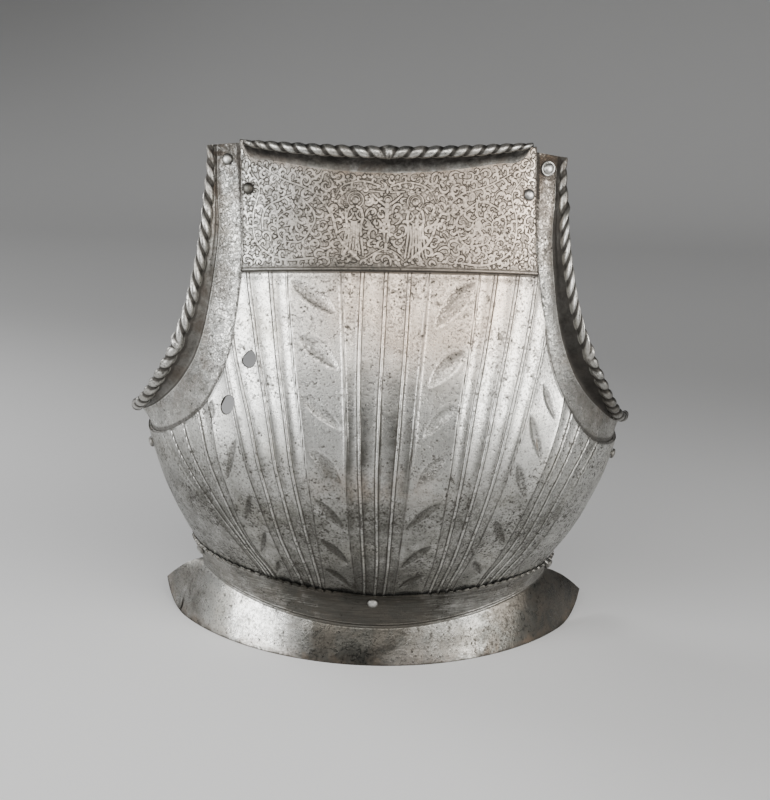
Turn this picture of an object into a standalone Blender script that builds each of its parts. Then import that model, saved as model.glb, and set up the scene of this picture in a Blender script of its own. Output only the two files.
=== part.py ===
"""Fluted steel breastplate of the early sixteenth century, standing on its waist flange.

One raised main plate has a roped, outward-turned neck edge. Two arm gussets are riveted beneath it
and have roped outer edges. A waist lame with a broad flange is riveted over its lower end.
Metres, +Z up, the front faces -Y. The origin is the middle of the underside of the whole box.
"""

import math

import bmesh
import bpy
import numpy as np
from mathutils import Matrix

# Sheet and rivet sizes, in metres.
PLATE_THICKNESS = 0.0020
GUSSET_THICKNESS = 0.0018
LAME_THICKNESS = 0.0018
GAP = 0.0003
SHEET_GAP = 0.0006
LAME_GAP = 0.0008
HEAD_GAP = 0.0005
HEAD_RADIUS = 0.0039
HEAD_RISE = 0.0024
SHANK_RADIUS = 0.0018
TAIL_RADIUS = 0.0031
TAIL_BEVEL_RADIUS = 0.0025
TAIL_EDGE = 0.0008
TAIL_RISE = 0.0011
COLLAR_RADIUS = 0.0054
COLLAR_RISE = 0.0007

# Body sections, each an arch in plan: its height, half its width, how far forward (-Y) its crown
# stands, where its widest line is, how pointed the arch is (1 is an ellipse), and its middle in X.
SECTION_COLUMNS = ("height", "half_width", "front", "side", "point", "middle")
SECTIONS = (
    (0.020, 0.1275, 0.026, 0.104, 1.15, 0.000),
    (0.045, 0.1280, 0.023, 0.100, 1.15, 0.000),
    (0.060, 0.1355, 0.014, 0.100, 1.12, 0.001),
    (0.080, 0.1480, 0.000, 0.102, 1.08, 0.002),
    (0.105, 0.1605, -0.014, 0.105, 1.03, 0.0025),
    (0.130, 0.1700, -0.024, 0.108, 1.00, 0.003),
    (0.155, 0.1765, -0.028, 0.110, 1.00, 0.003),
    (0.185, 0.1770, -0.027, 0.110, 1.00, 0.003),
    (0.220, 0.1730, -0.021, 0.107, 1.00, 0.002),
    (0.260, 0.1680, -0.010, 0.103, 1.00, 0.001),
    (0.300, 0.1630, 0.003, 0.099, 1.00, 0.000),
    (0.340, 0.1600, 0.016, 0.095, 1.00, 0.000),
    (0.385, 0.1580, 0.028, 0.092, 1.00, 0.000),
)

# Arm edges of the main plate, from the neck corner down to the side. Angles are degrees round the
# body from the front. "foot" is where the column of the plate that ends here starts at the waist,
# and "lap" is how far the gusset reaches beneath the plate.
ARM_COLUMNS = ("left", "left_height", "right", "right_height", "foot", "lap")
ARM_EDGE = (
    (40.1, 0.3790, 41.0, 0.3800, 22.0, 0.014),
    (38.6, 0.3450, 41.1, 0.3450, 25.0, 0.014),
    (37.0, 0.3000, 41.3, 0.3000, 28.0, 0.013),
    (37.4, 0.2620, 42.4, 0.2620, 31.0, 0.012),
    (38.8, 0.2320, 43.9, 0.2300, 34.0, 0.010),
    (42.2, 0.2090, 47.2, 0.2040, 38.0, 0.010),
    (46.5, 0.1895, 52.2, 0.1825, 43.0, 0.011),
    (54.5, 0.1725, 59.5, 0.1665, 50.5, 0.014),
    (65.5, 0.1585, 69.5, 0.1575, 62.0, 0.018),
    (79.0, 0.1510, 82.0, 0.1520, 77.0, 0.020),
    (89.0, 0.1495, 90.0, 0.1505, 89.0, 0.020),
    (97.0, 0.1500, 97.0, 0.1510, 97.0, 0.020),
)

# The line where each gusset turns outward, in the same rows as the arm edges, and the width of the
# turned flange there, up to the middle of its rope. "stand" is how far the gusset flares outward.
GUTTER_COLUMNS = (
    "left", "left_height", "left_flange", "left_stand",
    "right", "right_height", "right_flange", "right_stand",
)
GUTTER = (
    (49.0, 0.372, 0.0050, 0.0000, 49.5, 0.371, 0.0050, 0.0000),
    (48.0, 0.345, 0.0060, 0.0000, 48.8, 0.342, 0.0065, 0.0000),
    (46.3, 0.315, 0.0115, 0.0000, 47.6, 0.318, 0.0120, 0.0000),
    (46.8, 0.285, 0.0135, 0.0000, 47.6, 0.281, 0.0155, 0.0000),
    (48.0, 0.256, 0.0155, 0.0000, 48.2, 0.254, 0.0185, 0.0000),
    (50.2, 0.232, 0.0170, 0.0000, 51.0, 0.228, 0.0190, 0.0000),
    (53.8, 0.214, 0.0165, 0.0000, 56.0, 0.206, 0.0165, 0.0000),
    (59.5, 0.196, 0.0145, 0.0008, 63.0, 0.189, 0.0105, 0.0003),
    (68.2, 0.179, 0.0098, 0.0028, 72.0, 0.175, 0.0060, 0.0008),
    (79.0, 0.167, 0.0056, 0.0055, 82.0, 0.166, 0.0046, 0.0020),
    (89.0, 0.163, 0.0038, 0.0072, 90.0, 0.163, 0.0044, 0.0038),
)

# Neck edge of the main plate.
NECK_LOW = 0.361
NECK_CORNER = 0.372
NECK_TILT = 0.0030
NECK_SWEEP = 2.0
NECK_INSET = 1.8
NECK_FLANGE_RISE = 0.0165
NECK_FLANGE_RUN = 0.0105
NECK_CORNER_RUN = 0.002
NECK_ROPE_RADIUS = 0.0041
NECK_ROPE_END_RADIUS = 0.0012
NECK_CORNER_RISE = 0.0065
EDGE_STRIP = 0.0003

# Gusset flange and rope. Where the flange is short, the rope is thinner, by a share of its width.
GUSSET_TOP = 0.3775
GUSSET_FLANGE_TURN = math.radians(40)
GUSSET_ROPE_RADIUS = 0.0044
ROPE_SHARE = 0.75

# Waist lame: its upper edge and its crease rise towards the sides. The flange below the crease
# swells a little at its two ends. A short crack in the rim points at a place on the middle line.
LAME_END = math.radians(92)
LAME_TOP = 0.0490
LAME_TOP_RISE = 0.0120
LAME_TOP_POWER = 1.3
LAME_TOP_TILT = -0.0035
CREASE = 0.0225
CREASE_RISE = 0.0205
CREASE_DROP = 0.0006
TUCK = 0.0060
RIM_HALF_WIDTH = 0.1645
RIM_FRONT = 0.005
RIM_SIDE = 0.150
RIM_POINT = 1.16
RIM_LIFT_FROM = 0.085
RIM_LIFT = 9.0
RIM_END = math.radians(78)
RIM_LAND = 0.0032
FLANGE_SWELL = 0.0028
SPLIT_ANGLE = -math.radians(64)
SPLIT_WIDTH = 0.0012
SPLIT_LENGTH = 0.0028
SPLIT_HOLE_RADIUS = 0.0013
SPLIT_AIM = 0.090

# Holes that held the lance rest: angle round the body, height, half width, half height.
LANCE_HOLES = (
    (-32.8, 0.231, 0.0057, 0.0062),
    (-38.2, 0.1965, 0.0058, 0.0072),
)

# Rivets: name, angle in degrees, height, the sheets they join, and whether they have a collar.
RIVETS = (
    ("rivet_band_left", -36.4, 0.345, "plate_gusset", False),
    ("rivet_band_right", 38.6, 0.346, "plate_gusset", False),
    ("rivet_gusset_top_left", -44.4, 0.363, "gusset", False),
    ("rivet_gusset_top_right", 45.6, 0.363, "gusset", True),
    ("rivet_side_left", -79.0, 0.1410, "plate_gusset", False),
    ("rivet_side_right", 80.0, 0.1420, "plate_gusset", False),
    ("rivet_waist_left", -71.0, 0.0612, "lame_plate", False),
    ("rivet_waist_middle", 0.0, 0.0435, "lame_plate", False),
    ("rivet_waist_right", 74.0, 0.0560, "lame_plate", False),
)

# How finely the sheets are faceted.
ARM_STEPS = 17
ARM_CROWDING = 1.3
NECK_STEPS = 22
PLATE_ROWS = 20
ROW_CROWDING = 1.4
COLUMN_BEND = 1.8
BEAD_STEPS = 4
GUSSET_STEPS = 30
GUSSET_ROWS = 3
LAME_STEPS = 48
BAND_ROWS = 4
RIVET_SIDES = 10
HOLE_SIDES = 14
DOME_STEPS = 3
CUTTER_DEPTH = 0.024


def table(rows, columns, name, at=None):
    """One named column of a table, or its smooth value at a row position or at a height."""
    values = np.array(rows)[:, columns.index(name)]
    if at is None:
        return values
    keys = np.array(rows)[:, 0] if columns is SECTION_COLUMNS else np.arange(len(rows))
    slopes = np.gradient(values, keys)
    low = np.clip(np.searchsorted(keys, at) - 1, 0, len(rows) - 2)
    span = keys[low + 1] - keys[low]
    part = (at - keys[low]) / span
    square = part * part
    cube = square * part
    return (
        (2 * cube - 3 * square + 1) * values[low]
        + (cube - 2 * square + part) * span * slopes[low]
        + (3 * square - 2 * cube) * values[low + 1]
        + (cube - square) * span * slopes[low + 1]
    )


def unit(vectors):
    return vectors / np.linalg.norm(vectors, axis=-1, keepdims=True)


def arch(angle, half_width, front, side, point):
    """A plan arch: X across, Y from the crown at the front to the widest line and beyond."""
    cosine = np.cos(angle)
    depth = (side - front) * np.sign(cosine) * np.abs(cosine) ** point
    return half_width * np.sin(angle), side - depth


def body_face(angle, height):
    angle, height = np.broadcast_arrays(np.asarray(angle, float), np.asarray(height, float))
    half_width, front, side, point, middle = (
        table(SECTIONS, SECTION_COLUMNS, name, height) for name in SECTION_COLUMNS[1:]
    )
    across, back = arch(angle, half_width, front, side, point)
    return np.stack([across + middle, back, height], axis=-1)


def body_normal(angle, height):
    """The outward direction of the main plate's outer face."""
    step = 1e-4
    round_body = body_face(angle + step, height) - body_face(angle - step, height)
    up_body = body_face(angle, height + step) - body_face(angle, height - step)
    return unit(np.cross(round_body, up_body))


def body(angle, height, out=0.0):
    """A point of the body's outer face, moved outward by a distance."""
    return body_face(angle, height) + body_normal(angle, height) * np.asarray(out)[..., None]


def lame_top(angle):
    rise = LAME_TOP_RISE * np.abs(np.sin(angle)) ** LAME_TOP_POWER
    return LAME_TOP + rise + LAME_TOP_TILT * np.sin(angle)


def crease_height(angle):
    return CREASE + CREASE_RISE * np.sin(angle) ** 2


def rim_line(angle, inset):
    """The lower edge of the flange: flat where it stands, and lifted at its two ends."""
    across, back = arch(
        angle, RIM_HALF_WIDTH - inset, RIM_FRONT + inset, RIM_SIDE, RIM_POINT
    )
    lift = RIM_LIFT * np.maximum(back - RIM_LIFT_FROM, 0.0) ** 2
    return np.stack([across, back, lift], axis=-1)


def along_edge(position, side):
    """Angle, height, foot angle and lap on one arm edge. Side is -1 for the left and 1 for the right."""
    word = "left" if side < 0 else "right"
    names = (word, word + "_height", "foot", "lap")
    angle, height, foot, lap = (table(ARM_EDGE, ARM_COLUMNS, name, position) for name in names)
    return side * np.radians(angle), height, side * np.radians(foot), lap


def along_gutter(position, side):
    word = "left" if side < 0 else "right"
    names = (word, word + "_height", word + "_flange", word + "_stand")
    angle, height, flange, stand = (
        table(GUTTER, GUTTER_COLUMNS, name, position) for name in names
    )
    return side * np.radians(angle), height, flange, stand


def neck_share(angle):
    """0 at the middle of the neck and 1 at its corners."""
    corner = np.where(angle < 0, ARM_EDGE[0][0], ARM_EDGE[0][2])
    return (np.abs(np.degrees(angle)) / corner) ** NECK_SWEEP


def bead(centre, ahead, aside, radius, thickness):
    """Two mirrored arcs round the end of a sheet, from its outer face to its inner face."""
    start = math.pi - np.arcsin(np.clip(thickness / 2 / radius, 0.0, 1.0))
    steps = np.arange(BEAD_STEPS) / (BEAD_STEPS - 0.5)
    turn = start[:, None] * (1 - steps)
    reach = radius[:, None, None] * (
        np.cos(turn)[..., None] * ahead[:, None, :] + np.sin(turn)[..., None] * aside[:, None, :]
    )
    back = radius[:, None, None] * (
        np.cos(turn)[..., None] * ahead[:, None, :] - np.sin(turn)[..., None] * aside[:, None, :]
    )
    return centre[:, None, :] + reach, (centre[:, None, :] + back)[:, ::-1, :]


def material(name, colour, roughness):
    steel = bpy.data.materials.new(name)
    steel.use_nodes = True
    shader = steel.node_tree.nodes["Principled BSDF"]
    shader.inputs["Base Color"].default_value = (*colour, 1.0)
    shader.inputs["Roughness"].default_value = roughness
    shader.inputs["Metallic"].default_value = 1.0
    return steel


def add_object(name, mesh, steel):
    mesh.materials.append(steel)
    made = bpy.data.objects.new(name, mesh)
    bpy.context.collection.objects.link(made)
    return made


def sheet_object(name, loops, steel):
    """A closed sheet from a row of cross-sections, each an outer face and then its inner face."""
    stations, count, _ = loops.shape
    half = count // 2
    shape = bmesh.new()
    grid = [[shape.verts.new(point) for point in loop] for loop in loops]
    for first, second in zip(grid, grid[1:]):
        for index in range(count):
            after = (index + 1) % count
            shape.faces.new((first[index], first[after], second[after], second[index]))
    for ring in (grid[0], grid[-1]):
        for index in range(half - 1):
            shape.faces.new((ring[index], ring[index + 1], ring[-2 - index], ring[-1 - index]))
    bmesh.ops.recalc_face_normals(shape, faces=shape.faces)
    bmesh.ops.triangulate(shape, faces=shape.faces)
    mesh = bpy.data.meshes.new(name)
    shape.to_mesh(mesh)
    shape.free()
    mesh.shade_smooth()
    mesh.set_sharp_from_angle(angle=math.radians(35))
    return add_object(name, mesh, steel)


def plate_columns():
    """Foot angle, top angle and top height of each column of the main plate."""
    rows = len(ARM_EDGE) - 1
    up = rows * (1 - np.linspace(1.0, 0.0, ARM_STEPS) ** ARM_CROWDING)
    down = up[::-1]
    left_corner, _, right_corner, _, foot, _ = ARM_EDGE[0]
    neck = np.linspace(NECK_INSET - left_corner, right_corner - NECK_INSET, NECK_STEPS + 1)
    neck = np.radians(neck)
    neck_foot = np.radians(np.linspace(NECK_INSET - foot, foot - NECK_INSET, NECK_STEPS + 1))
    neck_height = NECK_LOW + (NECK_CORNER - NECK_LOW) * neck_share(neck)
    neck_height += NECK_TILT * np.sin(neck)
    left, left_height, left_foot, _ = along_edge(down, -1)
    right, right_height, right_foot, _ = along_edge(up, 1)
    return (
        np.concatenate([left_foot, neck_foot, right_foot]),
        np.concatenate([left, neck, right]),
        np.concatenate([left_height, neck_height, right_height]),
    )


def edge_directions(outer, normal, runs):
    """Across the plate's upper edge, away from the plate, and along it, taken run by run."""
    edge = outer[:, -1]
    along = np.concatenate([np.gradient(edge[run], axis=0) for run in runs])
    across = unit(np.cross(normal, along))
    climb = edge - outer[:, -2]
    sign = np.sign(np.sum(across * climb, axis=-1, keepdims=True))
    return across * sign, unit(along)


def breast_plate(steel):
    foot, top, top_height = plate_columns()
    foot_height = crease_height(foot) + TUCK
    last = ARM_STEPS + NECK_STEPS + 1
    neck = np.zeros((len(top), 1), bool)
    neck[ARM_STEPS:last] = True
    share = np.where(neck[:, 0], neck_share(top), 1.0)
    steps = np.linspace(0.0, 1.0, PLATE_ROWS + 1) ** ROW_CROWDING
    angle = foot[:, None] + (top - foot)[:, None] * steps**COLUMN_BEND
    height = foot_height[:, None] + (top_height - foot_height)[:, None] * steps
    outer = body(angle, height)
    inner = body(angle, height, np.full(angle.shape, -PLATE_THICKNESS))
    normal = body_normal(top, top_height)
    runs = (slice(0, ARM_STEPS), slice(ARM_STEPS, last), slice(last, None))
    across, along = edge_directions(outer, normal, runs)
    level = unit(normal * np.array([1.0, 1.0, 0.0]))
    run = NECK_CORNER_RUN + (NECK_FLANGE_RUN - NECK_CORNER_RUN) * (1 - share)
    rise = NECK_CORNER_RISE + (NECK_FLANGE_RISE - NECK_CORNER_RISE) * (1 - share)
    turned = level * run[:, None] + np.array([0.0, 0.0, 1.0]) * rise[:, None]
    lift = np.where(neck, turned, across * EDGE_STRIP)
    for corner, beside in ((ARM_STEPS - 1, ARM_STEPS), (last, last - 1)):
        lift[corner] = unit(unit(lift[corner]) + unit(lift[beside])) * EDGE_STRIP
    ahead = unit(lift)
    aside = np.where(neck, unit(np.cross(along, ahead)), normal)
    rope = NECK_ROPE_END_RADIUS + (NECK_ROPE_RADIUS - NECK_ROPE_END_RADIUS) * (1 - share**3)
    radius = np.where(neck[:, 0], rope, PLATE_THICKNESS / 2)
    centre = (outer[:, -1] + inner[:, -1]) / 2 + lift
    over, under = bead(centre, ahead, aside, radius, PLATE_THICKNESS)
    loops = np.concatenate([outer, over, under, inner[:, ::-1]], axis=1)
    return sheet_object("breast_plate", loops, steel)


def gusset(name, side, steel):
    position = np.linspace(0.0, len(GUTTER) - 1, GUSSET_STEPS + 1)
    edge, edge_height, _, lap = along_edge(position, side)
    turn, turn_height, flange, stand = along_gutter(position, side)
    width = np.linalg.norm(body(turn, turn_height) - body(edge, edge_height), axis=-1)
    share = lap / width
    hidden = edge + (edge - turn) * share
    hidden_height = np.minimum(edge_height + (edge_height - turn_height) * share, GUSSET_TOP)
    steps = np.linspace(0.0, 1.0, GUSSET_ROWS + 1)
    angle = hidden[:, None] + (turn - hidden)[:, None] * steps
    height = hidden_height[:, None] + (turn_height - hidden_height)[:, None] * steps
    bare = np.maximum(width[:, None] * (steps * (1 + share[:, None]) - share[:, None]), 0.0)
    flare = stand[:, None] * (bare / width[:, None]) ** 2
    outer_out = flare - PLATE_THICKNESS - SHEET_GAP
    outer = body(angle, height, outer_out)
    inner = body(angle, height, outer_out - GUSSET_THICKNESS)
    normal = body_normal(turn, turn_height)
    outward = unit(outer[:, -1] - outer[:, -2])
    ahead = unit(
        math.cos(GUSSET_FLANGE_TURN) * normal + math.sin(GUSSET_FLANGE_TURN) * outward
    )
    aside = -unit(outward - ahead * np.sum(outward * ahead, axis=-1, keepdims=True))
    centre = (outer[:, -1] + inner[:, -1]) / 2 + ahead * flange[:, None]
    radius = np.minimum(flange * ROPE_SHARE, GUSSET_ROPE_RADIUS)
    over, under = bead(centre, ahead, aside, radius, GUSSET_THICKNESS)
    loops = np.concatenate([outer, over, under, inner[:, ::-1]], axis=1)
    return sheet_object(name, loops, steel)


def waist_lame(steel):
    angle = np.linspace(-LAME_END, LAME_END, LAME_STEPS + 1)
    top = lame_top(angle)
    fold = crease_height(angle)
    inside = np.full(angle.shape, LAME_GAP)
    outside = inside + LAME_THICKNESS
    around = angle * (RIM_END / LAME_END)
    rim = rim_line(around, 0.0)
    rim_inner = rim_line(around, RIM_LAND)
    levels = [top + (fold - top) * share for share in np.linspace(0.0, 1.0, BAND_ROWS + 1)]
    outer = [body(angle, level, outside) for level in levels]
    inner = [body(angle, level, inside) for level in levels]
    inner[-1][:, 2] -= CREASE_DROP
    swell = np.outer(np.sin(angle) ** 2, [0.0, 0.0, FLANGE_SWELL])
    outer += [(outer[-1] + rim) / 2 + swell, rim]
    inner += [(inner[-1] + rim_inner) / 2 + swell, rim_inner]
    loops = np.stack(outer + inner[::-1], axis=1)
    return sheet_object("waist_lame", loops, steel)


def rivet_profile(collar, stack):
    """Radius and height of the turned outline, from the top of the dome to the peened inner end."""
    base = HEAD_GAP + COLLAR_RISE if collar else HEAD_GAP
    turns = np.linspace(0.0, math.pi / 2, DOME_STEPS + 1)
    outline = [(HEAD_RADIUS * math.sin(a), base + HEAD_RISE * math.cos(a)) for a in turns]
    if collar:
        outline += [(COLLAR_RADIUS, base), (COLLAR_RADIUS, HEAD_GAP)]
    tail = -stack - HEAD_GAP
    outline += [(SHANK_RADIUS, HEAD_GAP), (SHANK_RADIUS, tail), (TAIL_RADIUS, tail)]
    outline += [(TAIL_BEVEL_RADIUS, tail - TAIL_EDGE), (0.0, tail - TAIL_RISE)]
    return outline


def place(obj, angle, height, out):
    """Moves an object to the body's face and turns its +Z outward."""
    point = body(np.array([angle]), np.array([height]), np.array([out]))[0]
    normal = body_normal(np.array([angle]), np.array([height]))[0]
    across = unit(np.cross([0.0, 0.0, 1.0], normal))
    up = np.cross(normal, across)
    axes = np.stack([across, up, normal], axis=1)
    rows = [(*axes[row], point[row]) for row in range(3)] + [(0.0, 0.0, 0.0, 1.0)]
    obj.matrix_world = Matrix(rows)


def turned_mesh(name, outline):
    shape = bmesh.new()
    points = [shape.verts.new((radius, 0.0, rise)) for radius, rise in outline]
    edges = [shape.edges.new(pair) for pair in zip(points, points[1:])]
    bmesh.ops.spin(
        shape, geom=points + edges, axis=(0, 0, 1), cent=(0, 0, 0), steps=RIVET_SIDES,
        angle=math.tau,
    )
    bmesh.ops.remove_doubles(shape, verts=shape.verts, dist=1e-6)
    bmesh.ops.recalc_face_normals(shape, faces=shape.faces)
    mesh = bpy.data.meshes.new(name)
    shape.to_mesh(mesh)
    shape.free()
    mesh.shade_smooth()
    mesh.set_sharp_from_angle(angle=math.radians(40))
    return mesh


def stack_of(sheets):
    """The outer face's distance from the body's face, and the thickness of what is joined."""
    if sheets == "plate_gusset":
        return 0.0, PLATE_THICKNESS + SHEET_GAP + GUSSET_THICKNESS
    if sheets == "gusset":
        return -PLATE_THICKNESS - SHEET_GAP, GUSSET_THICKNESS
    return LAME_GAP + LAME_THICKNESS, LAME_THICKNESS + LAME_GAP + PLATE_THICKNESS


def rivet(name, angle, height, sheets, collar, steel):
    out, stack = stack_of(sheets)
    made = add_object(name, turned_mesh(name, rivet_profile(collar, stack)), steel)
    place(made, math.radians(angle), height, out)
    return made


def hidden_cutter(name, mesh):
    cutter = bpy.data.objects.new(name, mesh)
    bpy.context.collection.objects.link(cutter)
    cutter.hide_render = True
    cutter.display_type = "WIRE"
    return cutter


def drum(name, across, along, sides):
    """An upright elliptical drum, as a cutter."""
    shape = bmesh.new()
    bmesh.ops.create_cone(
        shape, cap_ends=True, segments=sides, radius1=1.0, radius2=1.0, depth=CUTTER_DEPTH
    )
    bmesh.ops.scale(shape, vec=(across, along, 1.0), verts=shape.verts)
    mesh = bpy.data.meshes.new(name)
    shape.to_mesh(mesh)
    shape.free()
    return hidden_cutter(name, mesh)


def cut(target, cutter):
    modifier = target.modifiers.new(cutter.name, "BOOLEAN")
    modifier.operation = "DIFFERENCE"
    modifier.solver = "EXACT"
    modifier.object = cutter


def drill(targets, name, angle, height, sheets):
    out, stack = stack_of(sheets)
    cutter = drum("cut_" + name, SHANK_RADIUS + GAP, SHANK_RADIUS + GAP, RIVET_SIDES)
    place(cutter, math.radians(angle), height, out - stack / 2)
    for target in targets:
        cut(target, cutter)
    return cutter


def lance_hole(plate, index, row):
    angle, height, half_width, half_height = row
    cutter = drum(f"cut_lance_hole_{index}", half_width, half_height, HOLE_SIDES)
    place(cutter, math.radians(angle), height, -PLATE_THICKNESS / 2)
    cut(plate, cutter)
    return cutter


def rim_split(lame):
    """The short crack in the left of the rim, which ends in a small hole."""
    rim_x, rim_y = arch(SPLIT_ANGLE, RIM_HALF_WIDTH, RIM_FRONT, RIM_SIDE, RIM_POINT)
    heading = math.atan2(rim_y - SPLIT_AIM, rim_x)
    shape = bmesh.new()
    bmesh.ops.create_cube(shape, size=1.0)
    size = (SPLIT_LENGTH * 2, SPLIT_WIDTH, CUTTER_DEPTH)
    bmesh.ops.scale(shape, vec=size, verts=shape.verts)
    mesh = bpy.data.meshes.new("cut_split")
    shape.to_mesh(mesh)
    shape.free()
    slot = hidden_cutter("cut_split", mesh)
    slot.location = (rim_x, rim_y, 0.0)
    slot.rotation_euler = (0.0, 0.0, heading)
    end = drum("cut_split_end", SPLIT_HOLE_RADIUS, SPLIT_HOLE_RADIUS, RIVET_SIDES)
    reach = SPLIT_LENGTH + SPLIT_HOLE_RADIUS / 2
    end.location = (rim_x - reach * math.cos(heading), rim_y - reach * math.sin(heading), 0.0)
    for cutter in (slot, end):
        cut(lame, cutter)
    return [slot, end]


def centre_on_origin(objects):
    """Moves everything so that the middle of the underside of the whole box is the origin."""
    bpy.context.view_layer.update()
    graph = bpy.context.evaluated_depsgraph_get()
    corners = [
        obj.matrix_world @ vertex.co
        for obj in objects
        if not obj.hide_render
        for vertex in obj.evaluated_get(graph).data.vertices
    ]
    points = np.array(corners)
    middle = (points.min(axis=0) + points.max(axis=0)) / 2
    for obj in objects:
        obj.location.x -= middle[0]
        obj.location.y -= middle[1]


def main():
    for obj in list(bpy.data.objects):
        bpy.data.objects.remove(obj, do_unlink=True)
    plate_steel = material("plate_steel", (0.56, 0.55, 0.53), 0.36)
    gusset_steel = material("gusset_steel", (0.50, 0.48, 0.45), 0.40)
    lame_steel = material("lame_steel", (0.40, 0.38, 0.35), 0.38)
    rivet_steel = material("rivet_steel", (0.34, 0.33, 0.32), 0.35)
    plate = breast_plate(plate_steel)
    left = gusset("gusset_left", -1, gusset_steel)
    right = gusset("gusset_right", 1, gusset_steel)
    lame = waist_lame(lame_steel)
    placed = [plate, left, right, lame]
    for name, angle, height, sheets, collar in RIVETS:
        near = left if angle < 0 else right
        targets = {"plate_gusset": [plate, near], "gusset": [near], "lame_plate": [plate, lame]}
        placed.append(rivet(name, angle, height, sheets, collar, rivet_steel))
        placed.append(drill(targets[sheets], name, angle, height, sheets))
    for index, row in enumerate(LANCE_HOLES, start=1):
        placed.append(lance_hole(plate, index, row))
    placed += rim_split(lame)
    centre_on_origin(placed)


main()
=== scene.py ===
"""Looks of the fluted steel breastplate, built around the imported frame.

Each sheet is rebuilt as a fine mesh on the same outlines as its solid: the fluted plate with its
leaves, the etched band, the roped edges, the gussets, the notched waist lame and the turned rivets.
Metres, +Z up, the front faces -Y. A side is -1 on the viewer's left and 1 on the right. The values
that materials read, and the flat map of the ornament, are in millimetres.
"""
import math

import bpy
import numpy as np
from mathutils import Matrix, Vector
from mathutils.kdtree import KDTree


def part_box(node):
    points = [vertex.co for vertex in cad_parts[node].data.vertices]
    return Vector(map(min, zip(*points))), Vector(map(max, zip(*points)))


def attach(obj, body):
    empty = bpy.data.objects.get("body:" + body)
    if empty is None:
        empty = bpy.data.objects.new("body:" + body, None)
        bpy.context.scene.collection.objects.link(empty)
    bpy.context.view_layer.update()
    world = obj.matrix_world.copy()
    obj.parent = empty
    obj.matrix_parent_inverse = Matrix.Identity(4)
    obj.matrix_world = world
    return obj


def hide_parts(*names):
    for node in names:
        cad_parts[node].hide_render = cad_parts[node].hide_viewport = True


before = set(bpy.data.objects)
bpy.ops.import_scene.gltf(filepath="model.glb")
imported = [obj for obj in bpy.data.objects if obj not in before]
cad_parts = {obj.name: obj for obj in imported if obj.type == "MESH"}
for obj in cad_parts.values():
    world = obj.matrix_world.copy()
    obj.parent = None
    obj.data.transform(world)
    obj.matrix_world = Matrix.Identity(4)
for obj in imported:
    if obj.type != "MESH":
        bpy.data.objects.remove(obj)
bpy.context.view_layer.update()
RANDOM = np.random.default_rng(1520)
SIDES = {-1: "left", 1: "right"}
UP = np.array([0.0, 0.0, 1.0])
FAR = 9.0
HIDDEN = 60.0
NOWHERE = 99.0
MM = 1000.0

# Sizes as the solids have them.
PLATE_THICKNESS = 0.0020
GUSSET_THICKNESS = 0.0018
LAME_THICKNESS = 0.0018
SHEET_GAP = 0.0006
LAME_GAP = 0.0008
HEAD_GAP = 0.0005
HEAD_RADIUS = 0.0039
HEAD_RISE = 0.0024
SHANK_RADIUS = 0.0018
TAIL_RADIUS = 0.0031
TAIL_RISE = 0.0011
COLLAR_RADIUS = 0.0054
COLLAR_RISE = 0.0007

# Tables are in degrees and millimetres.
# The body: height, half width, front, side, point of the arch, and how far its middle is shifted.
SECTIONS = np.array((
    (20, 127.5, 26, 104, 1.15, 0),
    (45, 128, 23, 100, 1.15, 0),
    (60, 135.5, 14, 100, 1.12, 1),
    (80, 148, 0, 102, 1.08, 2),
    (105, 160.5, -14, 105, 1.03, 2.5),
    (130, 170, -24, 108, 1, 3),
    (155, 176.5, -28, 110, 1, 3),
    (185, 177, -27, 110, 1, 3),
    (220, 173, -21, 107, 1, 2),
    (260, 168, -10, 103, 1, 1),
    (300, 163, 3, 99, 1, 0),
    (340, 160, 16, 95, 1, 0),
    (385, 158, 28, 92, 1, 0),
)) / (MM, MM, MM, MM, 1, MM)
# The arm edges: angle and height on the left and on the right, angle at the foot, gusset's lap.
ARM_EDGE = np.array((
    (40.1, 379, 41, 380, 22, 14),
    (38.6, 345, 41.1, 345, 25, 14),
    (37, 300, 41.3, 300, 28, 13),
    (37.4, 262, 42.4, 262, 31, 12),
    (38.8, 232, 43.9, 230, 34, 10),
    (42.2, 209, 47.2, 204, 38, 10),
    (46.5, 189.5, 52.2, 182.5, 43, 11),
    (54.5, 172.5, 59.5, 166.5, 50.5, 14),
    (65.5, 158.5, 69.5, 157.5, 62, 18),
    (79, 151, 82, 152, 77, 20),
    (89, 149.5, 90, 150.5, 89, 20),
    (97, 150, 97, 151, 97, 20),
)) / (1, MM, 1, MM, 1, MM)
EDGE_END = len(ARM_EDGE) - 1
LEFT_CORNER, _, RIGHT_CORNER, _, FOOT_CORNER, _ = ARM_EDGE[0]
# The gussets' outer lines: angle, height, flange and stand-off, on the left and then on the right.
GUTTER = np.array((
    (49, 372, 5, 0, 49.5, 371, 5, 0),
    (48, 345, 6, 0, 48.8, 342, 6.5, 0),
    (46.3, 315, 11.5, 0, 47.6, 318, 12, 0),
    (46.8, 285, 13.5, 0, 47.6, 281, 15.5, 0),
    (48, 256, 15.5, 0, 48.2, 254, 18.5, 0),
    (50.2, 232, 17, 0, 51, 228, 19, 0),
    (53.8, 214, 16.5, 0, 56, 206, 16.5, 0),
    (59.5, 196, 14.5, 0.8, 63, 189, 10.5, 0.3),
    (68.2, 179, 9.8, 2.8, 72, 175, 6, 0.8),
    (79, 167, 5.6, 5.5, 82, 166, 4.6, 2),
    (89, 163, 3.8, 7.2, 90, 163, 4.4, 3.8),
)) / (1, MM, MM, MM, 1, MM, MM, MM)
COLUMN_BEND = 1.8
NECK_LOW = 0.361
NECK_CORNER = 0.372
NECK_TILT = 0.0030
NECK_SWEEP = 2.0
NECK_INSET = 1.8
NECK_FLANGE_RISE = 0.0165
NECK_FLANGE_RUN = 0.0105
NECK_CORNER_RUN = 0.002
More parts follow.
